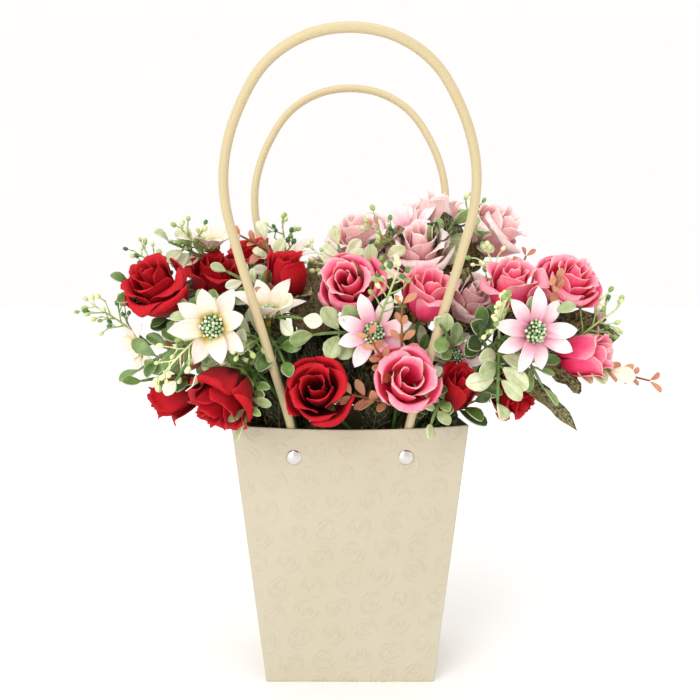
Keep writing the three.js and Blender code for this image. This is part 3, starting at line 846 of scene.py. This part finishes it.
# moulded polyethylene: ochre yellow, satin, stained brown in patches
ochre = grained("ochre_calyx", {"Roughness": 0.5}, [(0.3, "#8a6a1c"), (0.55, "#b8973a"), (0.75, "#c9b45c")],
                {"Scale": 1 / (4 * MM), "Detail": 3}, (0.2, 0.2 * MM))
draw = random.Random(23)
for name, (form, diameter, azimuth, elevation, openness, petals, roll) in HEADS.items():
    if "star" not in name:
        continue
    colour = name.split("_")[0]
    silk, slot = STAR_SILKS[colour]
    cup = form == "cup_star"
    pointed = 2.0 if colour == "white" else 3.4
    broad = 0.34 if colour == "white" else 0.25
    foot = 0.14
    depth = -0.45 if cup else 0
    flower = new_flower()
    for i in range(petals):
        turn = i * 2 * math.pi / petals + draw.uniform(-0.12, 0.12)
        under = i % 2
        rise = mix(74, 32, openness) + draw.uniform(-12, 12) if cup else draw.uniform(2, 16) - 6 * under
        rise = math.radians(rise)
        curl = draw.uniform(-0.35, -0.05) if cup else draw.uniform(-0.12, 0.22)
        length = (1 - foot) * draw.uniform(0.92, 1.12) * (1.2 if cup else 1)
        trough = draw.uniform(0.05, 0.12)
        twist = draw.uniform(-0.25, 0.25)
        crease = draw.uniform(0, 6.3)

        def star_petal(s, t):
            end = t + (draw.uniform(-0.02, 0.015) if t > 0.99 else 0)
            half = broad * (0.3 + t) ** 0.6 * (1 - t ** pointed) + 0.004
            side = s * half
            heading = rise + curl * 2 * t
            out = foot + length * end * math.cos(heading)
            up = depth + length * end * math.sin(heading) - 0.02 * under
            up += trough * s * s * half / broad * math.cos(rise) + 0.012 * math.sin(9 * t + crease) * t
            return turned(out, side, up + twist * side * t, turn)

        shade = draw.uniform(-0.04, 0.06)
        paint(flower, bent_grid(flower, 8, 12, star_petal), shade)
    bmesh.ops.transform(flower, verts=flower.verts, matrix=set_in_place(name, roll))
    new_piece(name, flower, silk, slot, STAR_SILK_THICKNESS)

    boss = new_flower()
    button = bmesh.ops.create_uvsphere(boss, u_segments=20, v_segments=10, radius=1)["verts"]
    paint(boss, button, 0.12)
    for vert in button:
        vert.co = Vector((vert.co.x * BOSS * 0.96, vert.co.y * BOSS * 0.96, depth + 0.02 + vert.co.z * 0.1))
    for i in range(BEADS):
        size = draw.uniform(0.034, 0.052)
        spot = dome_point(i, BEADS, BOSS * 0.95, 0.16) + Vector((0, 0, depth + draw.uniform(0.0, 0.05)))
        tint = draw.uniform(0.5, 1.0)
        bead = bmesh.ops.create_uvsphere(boss, u_segments=7, v_segments=5, radius=size,
                                         matrix=Matrix.Translation(spot))["verts"]
        paint(boss, bead, tint)
        # each bead's lower half is painted darker: painted shade under and between the beads
        paint(boss, [vert for vert in bead if vert.co.z < spot.z], tint - 0.3)
    bmesh.ops.transform(boss, verts=boss.verts, matrix=set_in_place(name, roll))
    new_piece(name + "_boss", boss, boss_green, "berry")

    calyx = new_flower()
    for i in range(8):
        turn = i * math.pi / 4

        def tooth(s, t):
            radius = mix(0.06, 0.34, t)
            lift = depth - 0.07 + radius * (0.75 if cup else 0.12) - 0.05 * math.sin(math.pi * t)
            return turned(radius, s * 0.11 * (1 - t ** 2), lift, turn)

        bent_grid(calyx, 2, 5, tooth)
    bmesh.ops.transform(calyx, verts=calyx.verts, matrix=set_in_place(name, roll))
    axis, unit = facing(azimuth, elevation), diameter * MM / 2
    heart = middle_of(name) + axis * (depth - 0.08) * unit
    sweep(calyx, [heart - axis * 0.3 * unit, heart - axis * 0.12 * unit, heart],
          lambda share, angle: unit * mix(0.07, 0.1, share), 10)
    new_piece(name + "_calyx", calyx, ochre, "stem", CALYX_THICKNESS)


# ------------------------------------------------------------------ leaf twigs
# Moulded polyethylene twigs: a green stem with pairs of spoon-shaped leaves. The leaves are thick and
# satin, sprayed with a pale bloom and cream rims, and no two twigs are sprayed alike.


def leaf_places(tree):
    """How far a point is from a leaf's midrib, up to 1 on its rim, and how far it is up the leaf."""
    sheet = add_node(tree, "UVMap", {"uv_map": "sheet"})
    split = add_node(tree, "SeparateXYZ", {}, {"Vector": sheet})
    centred = add_node(tree, "Math", {"operation": "MULTIPLY_ADD", 1: 2, 2: -1}, {0: split})
    return add_node(tree, "Math", {"operation": "ABSOLUTE"}, {0: centred}), split.outputs["Y"]


def sprayed_leaf():
    """Moulded polyethylene leaf, satin: green under a sprayed bloom that fades to cream at the rim and
    on the palest twigs covers the leaf; the midrib stays dark."""
    made, tree = new_material("sprayed_leaf", {
        "Roughness": 0.36, "Specular IOR Level": 0.5, "Subsurface Weight": 0.08,
        "Subsurface Scale": 1.5 * MM,
    })
    aside = leaf_places(tree)[0]
    tint = add_node(tree, "Attribute", {"attribute_name": "tint"}).outputs["Fac"]
    place = add_node(tree, "TexCoord").outputs["Object"]
    cloud = add_node(tree, "TexNoise", {"Scale": 1 / (7 * MM), "Detail": 3}, {"Vector": place})
    tone = add_node(tree, "ValToRGB", {"stops": [
        (0.02, "#263a15"), (0.25, "#4d6d2b"), (0.45, "#78964d"), (0.65, "#a8b782"), (0.85, "#d1d5aa"),
        (1, "#eaebd2")]}, {"Fac": swayed(tree, tint, cloud, 0.5)})
    rim = add_node(tree, "MapRange", {"From Min": 0.88, "From Max": 1, "To Max": 0.5}, {"Value": aside})
    rimmed = add_node(tree, "MixRGB", {"Color2": linear("#e3e6cb")}, {"Fac": rim, "Color1": tone})
    rib = add_node(tree, "MapRange", {"From Min": 0.02, "From Max": 0.1, "To Min": 0.3, "To Max": 0},
                   {"Value": aside})
    ribbed = add_node(tree, "MixRGB", {"Color2": linear("#46682f")}, {"Fac": rib, "Color1": rimmed})
    pore = add_node(tree, "TexNoise", {"Scale": 1 / (0.5 * MM)}, {"Vector": place})
    return finish_with(made, ribbed, None, pore, 0.12, 0.15 * MM)


def leaf(bm, foot, out, face, length, width, tint, draw):
    """A spoon-shaped leaf from its foot along out, with its upper side towards face."""
    across = out.cross(face).normalized()
    up = across.cross(out).normalized()
    arch = draw.uniform(-0.05, 0.28) * length
    hollow = draw.uniform(0.12, 0.34)
    sway = draw.uniform(-0.12, 0.12) * length
    notch = draw.choice([0, 0, 0, 0.05])

    def place(s, t):
        t = (1 - math.cos(math.pi * t)) / 2  # rows closer together at the foot and the tip, which are round
        broad = math.sin(math.pi * t ** 1.45) ** 0.62 if 0 < t < 1 else 0
        half = 0.44 * width * (0.07 + 0.93 * broad) * (1 if t < 0.97 else 0.75)
        reach = length * (t - notch * t * (abs(s) < 0.2) * (t > 0.96))
        lift = arch * math.sin(math.pi * t * 0.75) + hollow * half * s * s
        lift -= 0.05 * width * max(0, 1 - abs(s) * 4) * math.sin(math.pi * t)
        return foot + out * reach + across * (s * half + sway * t * t) + up * lift

    paint(bm, bent_grid(bm, 4, 7, place), tint)


def point_along(route, share):
    """The point at a share of the way along a route, and the direction there."""
    last = len(route) - 1
    spot = min(last - 1, int(share * last))
    return (route[spot].lerp(route[spot + 1], share * last - spot),
            (route[spot + 1] - route[spot]).normalized())


def leaf_twig(bm, route, face, pairs, length, width, tints, draw):
    """Pairs of leaves on short stalks along a stem, and one at its tip."""

    def stalk(points, thick, thin, sides):
        paint(bm, sweep(bm, points, lambda share, angle: mix(thick, thin, share) * MM, sides), 0.34)

    stalk(route, 1.15, 0.75, 7)
    for pair in range(pairs + 1):
        share = 1 if pair == pairs else 0.3 + 0.62 * (pair + draw.uniform(-0.15, 0.15)) / pairs
        foot, along = point_along(route, share)
        across = along.cross(face).normalized()
        for side in ([0] if pair == pairs else [-1, 1]):
            out = (along * draw.uniform(0.5, 0.9) + across * side * draw.uniform(0.8, 1.1)
                   + face * draw.uniform(-0.1, 0.35)).normalized()
            if not side:
                out = (along + face * draw.uniform(-0.1, 0.3)).normalized()
            size = draw.uniform(0.82, 1.12) * mix(1.05, 0.85, share)
            reach = 0.16 * length * size
            tilt = (face + across * draw.uniform(-0.5, 0.5) + along * draw.uniform(-0.3, 0.3)).normalized()
            stalk([foot, foot + out * reach * 0.5, foot + out * reach * 1.15], 0.6, 0.5, 6)
            leaf(bm, foot + out * reach, out, tilt, length * size, width * size, draw.uniform(*tints), draw)


def nearest_branch(spot):
    return min(branch_points, key=lambda point: (point - spot).length)


def twig_route(start, tip, arch, steps=10):
    """From the nearest point of a branch to a tip; arch bows the line upwards by that share of it."""
    root = nearest_branch(start)
    middle = root.lerp(tip, 0.5) + UP * arch * (tip - root).length
    return [root * (1 - t) ** 2 + middle * 2 * t * (1 - t) + tip * t * t
            for t in [i / steps for i in range(steps + 1)]]


def in_metres(x, y, z):
    return Vector((x, y, z)) * MM


# name, near the branch where it starts, tip, arch, azimuth and elevation its leaves face, pairs,
# leaf length and width, spray
LEAF_TWIGS = [
    ("leaf_twig_1", (-136, -40, 270), (-159, -40, 303), 0.1, -25, 25, 3, 20, 13, (0.2, 0.5)),
    ("leaf_twig_2", (-109, -55, 255), (-151, -50, 243), 0.1, -15, 30, 4, 22, 13, (0.25, 0.55)),
    ("leaf_twig_3", (-109, -20, 310), (-136, -10, 334), 0.1, -10, 20, 3, 19, 14, (0.75, 1.05)),
    ("leaf_twig_4", (-46, -60, 243), (-72, -84, 210), 0.1, -20, 10, 4, 18, 8, (0.35, 0.75)),
    ("leaf_twig_5", (-4, -40, 264), (-24, -55, 268), 0.1, -5, 15, 2, 24, 18, (0.45, 0.8)),
    ("leaf_twig_6", (80, -10, 321), (76, -20, 346), 0.02, 5, 10, 3, 20, 14, (0.45, 0.95)),
    ("leaf_twig_7", (73, -50, 227), (56, -84, 210), 0.4, 5, 30, 3, 17, 11, (0.4, 0.75)),
    ("leaf_twig_8", (97, -60, 257), (101, -84, 225), 0.12, 5, 14, 3, 24, 16, (0.6, 0.95)),
    ("leaf_twig_9", (163, -24, 250), (192, -32, 240), 0.1, 20, 20, 2, 20, 15, (0.7, 1.05)),
    ("leaf_sprig_10", (-100, -50, 222), (-104, -84, 238), 0.1, -5, 10, 0, 21, 17, (0.85, 1.1)),
    ("leaf_sprig_11", (-83, -20, 291), (-90, -30, 312), 0.05, -10, 15, 3, 15, 10, (0.3, 1.0)),
    ("leaf_sprig_12", (-69, 0, 306), (-65, 0, 334), 0.05, 0, 10, 3, 17, 11, (0.4, 1.0)),
    ("leaf_sprig_13", (-49, -50, 278), (-35, -62, 280), 0.1, -5, 10, 1, 21, 14, (0.7, 1.05)),
    ("leaf_sprig_14", (17, -20, 314), (-8, -15, 330), 0.1, 0, 15, 3, 18, 12, (0.75, 1.05)),
    ("leaf_sprig_15", (93, 0, 321), (99, -20, 339), 0.05, 10, 15, 2, 19, 14, (0.4, 0.8)),
    ("leaf_sprig_16", (85, -60, 268), (61, -84, 277), 0.05, 0, 20, 2, 20, 13, (0.35, 0.75)),
    ("leaf_sprig_17", (112, -30, 254), (92, -50, 269), 0.1, 5, 20, 3, 26, 15, (0.1, 0.35)),
    ("leaf_sprig_18", (127, -30, 262), (139, -50, 231), 0.1, 15, 20, 3, 21, 9, (0.2, 0.5)),
    ("leaf_sprig_19", (139, -40, 277), (143, -60, 284), 0.1, 10, 20, 1, 19, 13, (0.5, 0.8)),
    ("leaf_sprig_20", (-112, -66, 246), (-118, -84, 240), 0.1, -10, 15, 0, 19, 15, (0.8, 1.1)),
    ("leaf_sprig_21", (-130, -50, 250), (-146, -64, 236), 0.1, -20, 25, 2, 20, 12, (0.3, 0.6)),
    ("leaf_sprig_22", (24, -16, 304), (26, -32, 322), 0.1, 0, 15, 2, 18, 13, (0.7, 1.0)),
    ("leaf_sprig_23", (-60, -40, 262), (-48, -56, 250), 0.1, -5, 15, 2, 22, 14, (0.15, 0.45)),
]

LEAF_THICKNESS = 0.7 * MM

leaf_green = sprayed_leaf()
draw = random.Random(37)
for name, start, tip, arch, azimuth, elevation, pairs, length, width, tints in LEAF_TWIGS:
    twig = new_flower()
    route = twig_route(in_metres(*start), in_metres(*tip), arch)
    leaf_twig(twig, route, facing(azimuth, elevation), pairs, length * MM, width * MM, tints, draw)
    new_piece(name, twig, leaf_green, "leaf", LEAF_THICKNESS)


# ------------------------------------------------------------------ berry twigs
# Thin moulded sprays that fork again and again, each tip with an egg-shaped bud. They are sprayed from
# dark green at the stem to a pale yellow-green at the tips.

BERRY_LENGTH = 5 * MM
BERRY_WIDTH = 3.8 * MM


def berry(bm, foot, out, size, tint):
    """An egg-shaped bud, of a size that is 1 for a usual one."""
    length, width = BERRY_LENGTH * size, BERRY_WIDTH * size
    turn = out.to_track_quat("Z", "Y").to_matrix().to_4x4()
    made = bmesh.ops.create_uvsphere(bm, u_segments=8, v_segments=6, radius=0.5, matrix=(
        Matrix.Translation(foot + out * length * 0.45) @ turn @ Matrix.Diagonal((width, width, length, 1))))
    paint(bm, made["verts"], tint)


def berry_twig(bm, route, face, forks, spread, pale, draw):
    """A spray: side shoots all along the stem, each ending in one to three buds; pale lifts its spray."""

    def shoot(points, start_tint, end_tint, girth):
        whole = max(1e-6, (points[-1] - points[0]).length)
        for vert in sweep(bm, points, lambda share, angle: girth * mix(1.15, 0.8, share) * MM, 6):
            share = (vert.co - points[0]).length / whole
            paint(bm, [vert], mix(start_tint, end_tint, min(1, share)) + pale)

    shoot(route, 0.25, 0.8, 0.9)
    for fork in range(forks + 1):
        share = 1 if fork == forks else 0.36 + 0.6 * (fork + draw.uniform(-0.2, 0.2)) / forks
        foot, along = point_along(route, share)
        across = along.cross(face).normalized()
        side = -1 if fork % 2 else 1
        twist = draw.uniform(-0.8, 0.8)
        out = (along * draw.uniform(0.7, 1.1) + (across * math.cos(twist) + face * math.sin(twist)) * side)
        out = along if fork == forks else out.normalized()
        arm = spread * draw.uniform(0.75, 1.15) * (0.4 if fork == forks else 1)
        elbow = foot + out * arm * 0.5 + face * draw.uniform(-0.05, 0.1) * arm
        end = foot + (out + UP * 0.12).normalized() * arm
        tint = mix(0.3, 0.8, share)
        shoot([foot, foot.lerp(elbow, 0.6), elbow, end], tint * 0.8, tint, 0.6)
        for bud in range(draw.choice([1, 2, 3, 3]) if fork < forks else 3):
            turned_out = out + across * draw.uniform(-0.9, 0.9) + face * draw.uniform(-0.7, 0.7)
            turned_out.normalize()
            begin = end if bud == 0 else elbow
            tip = begin + turned_out * spread * draw.uniform(0.28, 0.45)
            bud_tint = draw.choice([0.12, 0.2, 0.5, 0.75, 0.9]) if share < 0.9 else draw.uniform(0.6, 1)
            shoot([begin, begin.lerp(tip, 0.5), tip], tint, tint, 0.5)
            size = draw.uniform(0.75, 1.15)
            berry(bm, tip, turned_out, size, bud_tint + pale)


# name, near the branch where it starts, tip, arch, azimuth and elevation it faces, forks, shoot
# length, paleness
BERRY_TWIGS = [
    ("berry_twig_1", (-147, -40, 266), (-185, -38, 286), 0.05, -10, 20, 6, 14, 0.1),
    ("berry_twig_2", (107, -60, 250), (101, -84, 288), 0.02, 5, 20, 7, 16, 0.4),
    ("berry_twig_3", (157, -30, 262), (192, -40, 283), 0.05, 20, 30, 6, 14, 0.05),
    ("berry_sprig_4", (-109, -20, 310), (-125, -15, 342), 0.05, -10, 15, 5, 12, 0),
    ("berry_sprig_5", (-119, -30, 303), (-153, -20, 327), 0.05, -10, 20, 6, 12, 0),
    ("berry_sprig_6", (-101, -70, 258), (-128, -80, 243), 0.1, -15, 25, 6, 12, 0.4),
    ("berry_sprig_7", (-48, 0, 320), (-52, 0, 346), 0.0, 0, 20, 4, 12, 0),
    ("berry_sprig_8", (-19, -10, 310), (-26, -5, 327), 0.0, 0, 20, 5, 12, 0.3),
    ("berry_sprig_9", (33, -30, 320), (17, -40, 343), 0.05, 0, 20, 5, 13, -0.1),
    ("berry_sprig_10", (25, -60, 289), (32, -84, 313), 0.0, 5, 15, 8, 10, 0.15),
    ("berry_sprig_11", (91, 0, 337), (89, -5, 363), 0.0, 0, 20, 5, 12, 0),
    ("berry_sprig_12", (96, -30, 303), (102, -35, 324), 0.0, 5, 15, 6, 11, 0.3),
    ("berry_sprig_13", (-65, -50, 260), (-75, -75, 259), 0.1, -10, 15, 4, 10, 0),
]

# moulded polyethylene, satin: dark green shading to pale yellow-green towards the tips
berry_green = sprayed_plastic("sprayed_berry", {"Roughness": 0.38, "Specular IOR Level": 0.5}, [
    (0.05, "#2f5133"), (0.3, "#54803f"), (0.55, "#86a753"), (0.8, "#bccd84"), (1, "#e4e9b4"),
], {"Scale": 1 / (3 * MM), "Detail": 3}, 0.3, (0.1, 0.2 * MM))
draw = random.Random(53)
for name, start, tip, arch, azimuth, elevation, forks, spread, pale in BERRY_TWIGS:
    twig = new_flower()
    route = twig_route(in_metres(*start), in_metres(*tip), arch)
    berry_twig(twig, route, facing(azimuth, elevation), forks, spread * MM, pale, draw)
    new_piece(name, twig, berry_green, "berry")


# ------------------------------------------------------------------ copper twigs
# Thin brown twigs with pairs of small round-ended leaves, moulded in a clear copper-tinted plastic
# that lets the light through.


def copper_twig(bm, route, face, pairs, size, draw):
    paint(bm, sweep(bm, route, lambda share, angle: mix(0.9, 0.55, share) * MM, 7), 0.12)
    for pair in range(pairs + 1):
        share = 1 if pair == pairs else 0.22 + 0.72 * pair / pairs
        foot, along = point_along(route, share)
        across = along.cross(face).normalized()
        spin = draw.uniform(-0.7, 0.7) + (pair % 2) * 0.6
        level = across * math.cos(spin) + face * math.sin(spin)
        for side in (-1, 1):
            out = (along * draw.uniform(0.5, 1.0) + level * side * draw.uniform(0.7, 1)).normalized()
            grown = size * draw.uniform(0.75, 1.15) * mix(1.1, 0.8, share)
            leaf(bm, foot + out * 0.1 * grown, out, (face + along * 0.4).normalized(),
                 grown, grown * 0.56, draw.uniform(0.45, 0.8), draw)


# name, near the branch where it starts, tip, arch, azimuth and elevation it faces, pairs, leaf length
COPPER_TWIGS = [
    ("copper_twig_1", (16, -60, 218), (13, -86, 270), 0.0, 0, 5, 4, 13),
    ("copper_twig_2", (149, -20, 226), (225, -30, 231), 0.02, 10, 20, 6, 12),
    ("copper_sprig_3", (36, -50, 242), (36, -70, 290), 0.0, 5, 10, 4, 13),
    ("copper_sprig_4", (136, -20, 291), (130, -30, 324), 0.0, 5, 10, 3, 11),
    ("copper_sprig_5", (148, -30, 277), (143, -70, 309), 0.0, 10, 10, 3, 14),
    ("copper_sprig_6", (-51, -10, 320), (-81, -30, 339), 0.05, -10, 15, 3, 14),
    ("copper_sprig_7", (33, -40, 210), (1, -60, 225), 0.05, 0, 20, 3, 15),
]

COPPER_THICKNESS = 0.5 * MM

# tinted polyethylene: copper-pink, half clear, satin, with a darker stem
copper = sprayed_plastic("copper_plastic", {
    "Roughness": 0.4, "Subsurface Weight": 0.25, "Subsurface Scale": 2 * MM,
    "Subsurface Radius": (1, 0.5, 0.3),
}, [(0.05, "#83522a"), (0.35, "#a9623e"), (0.62, "#c58467"), (0.85, "#d3a070"), (1, "#c4ab62")],
                         {"Scale": 1 / (4 * MM), "Detail": 3}, 0.4, (0.15, 0.2 * MM))
draw = random.Random(71)
for name, start, tip, arch, azimuth, elevation, pairs, size in COPPER_TWIGS:
    twig = new_flower()
    route = twig_route(in_metres(*start), in_metres(*tip), arch)
    copper_twig(twig, route, facing(azimuth, elevation), pairs, size * MM, draw)
    new_piece(name, twig, copper, "copper", COPPER_THICKNESS)


# ------------------------------------------------------------------ mottled leaves
# Large leaves of printed silk, crinkled by heat and veined: dark green spotted with cream and rust.
# Most sit deep in the bouquet, where they close it off above the rim; they are tinted much darker,
# painted shade for the dark inside of the bunch, and the higher ones less dark, painted light.


def mottled_silk():
    """Printed polyester silk: dark green with cream flecks and rust edges between its veins, matt; a low
    tint paints it much darker, painted shade on the leaves deep in the bunch.
    """
    made, tree = new_material("mottled_silk", {"Roughness": 0.6, "Specular IOR Level": 0.35})
    aside, up_leaf = leaf_places(tree)
    tint = add_node(tree, "Attribute", {"attribute_name": "tint"}).outputs["Fac"]
    place = add_node(tree, "TexCoord").outputs["Object"]
    fleck = add_node(tree, "TexNoise", {"Scale": 1 / (2.2 * MM), "Detail": 4}, {"Vector": place})
    cloud = add_node(tree, "TexNoise", {"Scale": 1 / (14 * MM), "Detail": 2}, {"Vector": place})
    spread = add_node(tree, "Math", {"operation": "ADD"}, {0: swayed(tree, fleck, cloud, 0.5), 1: tint})
    # the dark brown and dark green stops are mostly where the deep leaves' low tint falls: painted shade
    tone = add_node(tree, "ValToRGB", {"stops": [
        (0.3, "#211c0e"), (0.48, "#3a4026"), (0.58, "#66683f"), (0.66, "#a59a72"), (0.74, "#84442e")]},
                    {"Fac": spread})
    # side veins leave the midrib at a slant: bands across the leaf, pushed along by distance from it
    slant = add_node(tree, "Math", {"operation": "MULTIPLY_ADD", 1: -0.28}, {0: aside, 2: up_leaf})
    band = add_node(tree, "Math", {"operation": "MULTIPLY", 1: 44}, {0: slant})
    wave = add_node(tree, "Math", {"operation": "SINE"}, {0: band})
    vein = add_node(tree, "MapRange", {"From Min": 0.8, "From Max": 1, "To Max": 0.6}, {"Value": wave})
    rib = add_node(tree, "MapRange", {"From Min": 0, "From Max": 0.07, "To Min": 0.9, "To Max": 0},
                   {"Value": aside})
    drawn = add_node(tree, "Math", {"operation": "MAXIMUM"}, {0: vein, 1: rib})
    veined = add_node(tree, "MixRGB", {"Color2": linear("#8a8a5a")}, {"Fac": drawn, "Color1": tone})
    height = add_node(tree, "Math", {"operation": "SUBTRACT"}, {0: fleck, 1: drawn})
    return finish_with(made, veined, None, height, 0.4, 0.5 * MM)


def mottled_leaf(bm, foot, out, face, length, width, tint, draw):
    """A long leaf with a waved edge and a folded midrib."""
    across = out.cross(face).normalized()
    up = across.cross(out).normalized()
    fold, droop = draw.uniform(0.15, 0.5), draw.uniform(-0.1, 0.35) * length
    wave, phase = draw.uniform(0.04, 0.09) * width, draw.uniform(0, 6.3)

    def place(s, t):
        half = width / 2 * (0.08 + 0.92 * math.sin(math.pi * t ** 0.85) ** 0.7 if 0 < t < 1 else 0.06)
        half *= 1 + 0.06 * math.sin(23 * t + phase)
        lift = fold * half * abs(s) - droop * t * t + wave * math.sin(17 * t + phase + 2 * s) * abs(s)
        return foot + out * length * t + across * s * half + up * lift

    paint(bm, bent_grid(bm, 6, 12, place), tint)


# where the leaf starts, where its tip points to, azimuth and elevation it faces, width, tint
LARGE_LEAVES = [
    ((-30, -5, 262), (-22, -14, 322), -5, 10, 40, 0.16),
    ((118, -24, 240), (170, -52, 206), 20, 50, 18, 0.07),
    ((150, -10, 256), (206, -14, 262), 15, 30, 26, 0.08),
    ((140, -24, 250), (172, -40, 226), 20, 40, 24, 0.04),
]
# boxes in mm that shaded leaves start in, and how many in each: above the rim, then behind the red,
# the pale and the pink flowers; their dark tint is painted shade
SHADED = [
    ((-68, 68), (-30, 36), (178, 244), 62),
    ((-12, 44), (-34, -16), (196, 230), 9),
    ((-110, -40), (-12, 38), (246, 302), 15),
    ((-10, 108), (-14, 38), (246, 326), 26),
    ((105, 158), (-14, 34), (234, 274), 9),
]

RIM_LEAVES_BELOW = 0.215  # shaded leaves that start lower point upwards, clear of the rim
PAINTED_LIGHT_ABOVE = 0.28  # shaded leaves that start higher are painted lighter, painted light

draw = random.Random(83)
large = new_flower()
stalks = bmesh.new()
stalks.loops.layers.uv.new("sheet")
for start, end, azimuth, elevation, width, tint in LARGE_LEAVES:
    foot, tip = in_metres(*start), in_metres(*end)
    root = nearest_branch(foot)
    sweep(stalks, [root, root.lerp(foot, 0.5) - UP * 2 * MM, foot, foot.lerp(tip, 0.3)],
          lambda share, angle: mix(1.2, 0.6, share) * MM, 7)
    mottled_leaf(large, foot, (tip - foot).normalized(), facing(azimuth, elevation),
                 (tip - foot).length, width * MM, tint, draw)
for wide, deep, high in [zone[:3] for zone in SHADED for i in range(zone[3])]:
    foot = in_metres(draw.uniform(*wide), draw.uniform(*deep), draw.uniform(*high))
    root = nearest_branch(foot)
    stray = Vector((draw.uniform(-0.6, 0.6), draw.uniform(-0.6, 0.6), draw.uniform(0.2, 0.9)))
    out = Vector((foot.x, foot.y * 1.5, 0)) * 6 + stray + UP * (foot.z < RIM_LEAVES_BELOW)
    out.normalize()
    sweep(stalks, [root, root.lerp(foot, 0.5), foot, foot + out * 6 * MM],
          lambda share, angle: 0.7 * MM, 6)
    face = (facing(draw.uniform(-40, 40), draw.uniform(0, 40)) * (1 if foot.y < 0.008 else -1)
            + UP * 0.5).normalized()
    # a low tint paints these leaves dark as painted shade; those higher up are lifted lighter as painted
    # light
    mottled_leaf(large, foot, out, face, draw.uniform(34, 50) * MM, draw.uniform(20, 28) * MM,
                 draw.uniform(-0.2, -0.02) + 0.16 * (foot.z > PAINTED_LIGHT_ABOVE), draw)
new_piece("mottled_leaves", large, mottled_silk(), "leaf", 0.5 * MM)
new_piece("mottled_leaf_stalks", stalks, ochre, "stem")


# ------------------------------------------------------------------ filling foliage
# Short twigs of the same three kinds all round the bunch, between the flowers, front, sides and back.

FILLING = 84
FILL_LOW, FILL_HIGH = 0.205, 0.345  # heights that the twigs start between
TIP_LOW = 0.215  # lowest height, widest place aside, and places to the front and rear that tips may reach
TIP_ASIDE = 0.165
TIP_FRONT, TIP_REAR = -0.055, 0.078

draw = random.Random(97)
leaves, berries, coppers = new_flower(), new_flower(), new_flower()
placed = 0
while placed < FILLING:
    root = draw.choice(branch_points)
    if not FILL_LOW <= root.z <= FILL_HIGH:
        continue
    outward = Vector((root.x, root.y * 1.7 + draw.uniform(-0.03, 0.05), 0)).normalized()
    stray = UP * draw.uniform(-0.1, 0.8)
    away = outward + stray + Vector((draw.uniform(-0.5, 0.5), draw.uniform(-0.4, 0.4), 0))
    tip = root + away.normalized() * draw.uniform(20, 34) * MM
    tip.y = min(max(tip.y, TIP_FRONT), TIP_REAR)
    if abs(tip.x) > TIP_ASIDE or not TIP_LOW <= tip.z <= FILL_HIGH:
        continue
    placed += 1
    bow = root.lerp(tip, 0.5) + UP * draw.uniform(0, 4) * MM
    route = [root, root.lerp(bow, 0.6), bow, bow.lerp(tip, 0.6), tip]
    face = (Vector((outward.x * 0.4, -1 if tip.y < 0.01 else 1, 0.5))).normalized()
    kind = placed % 8
    if kind < 6:
        shade = draw.choice([(0.05, 0.3), (0.1, 0.4), (0.3, 0.6), (0.6, 0.95)])
        leaf_twig(leaves, route, face, 2, draw.uniform(15, 22) * MM, draw.uniform(10, 14) * MM,
                  shade, draw)
    elif kind == 6:
        berry_twig(berries, route, face, 4, 11 * MM, 0.1, draw)
    else:
        copper_twig(coppers, route, face, 3, 13 * MM, draw)
new_piece("filling_leaves", leaves, leaf_green, "leaf", LEAF_THICKNESS)
new_piece("filling_berries", berries, berry_green, "berry")
new_piece("filling_coppers", coppers, copper, "copper", COPPER_THICKNESS)
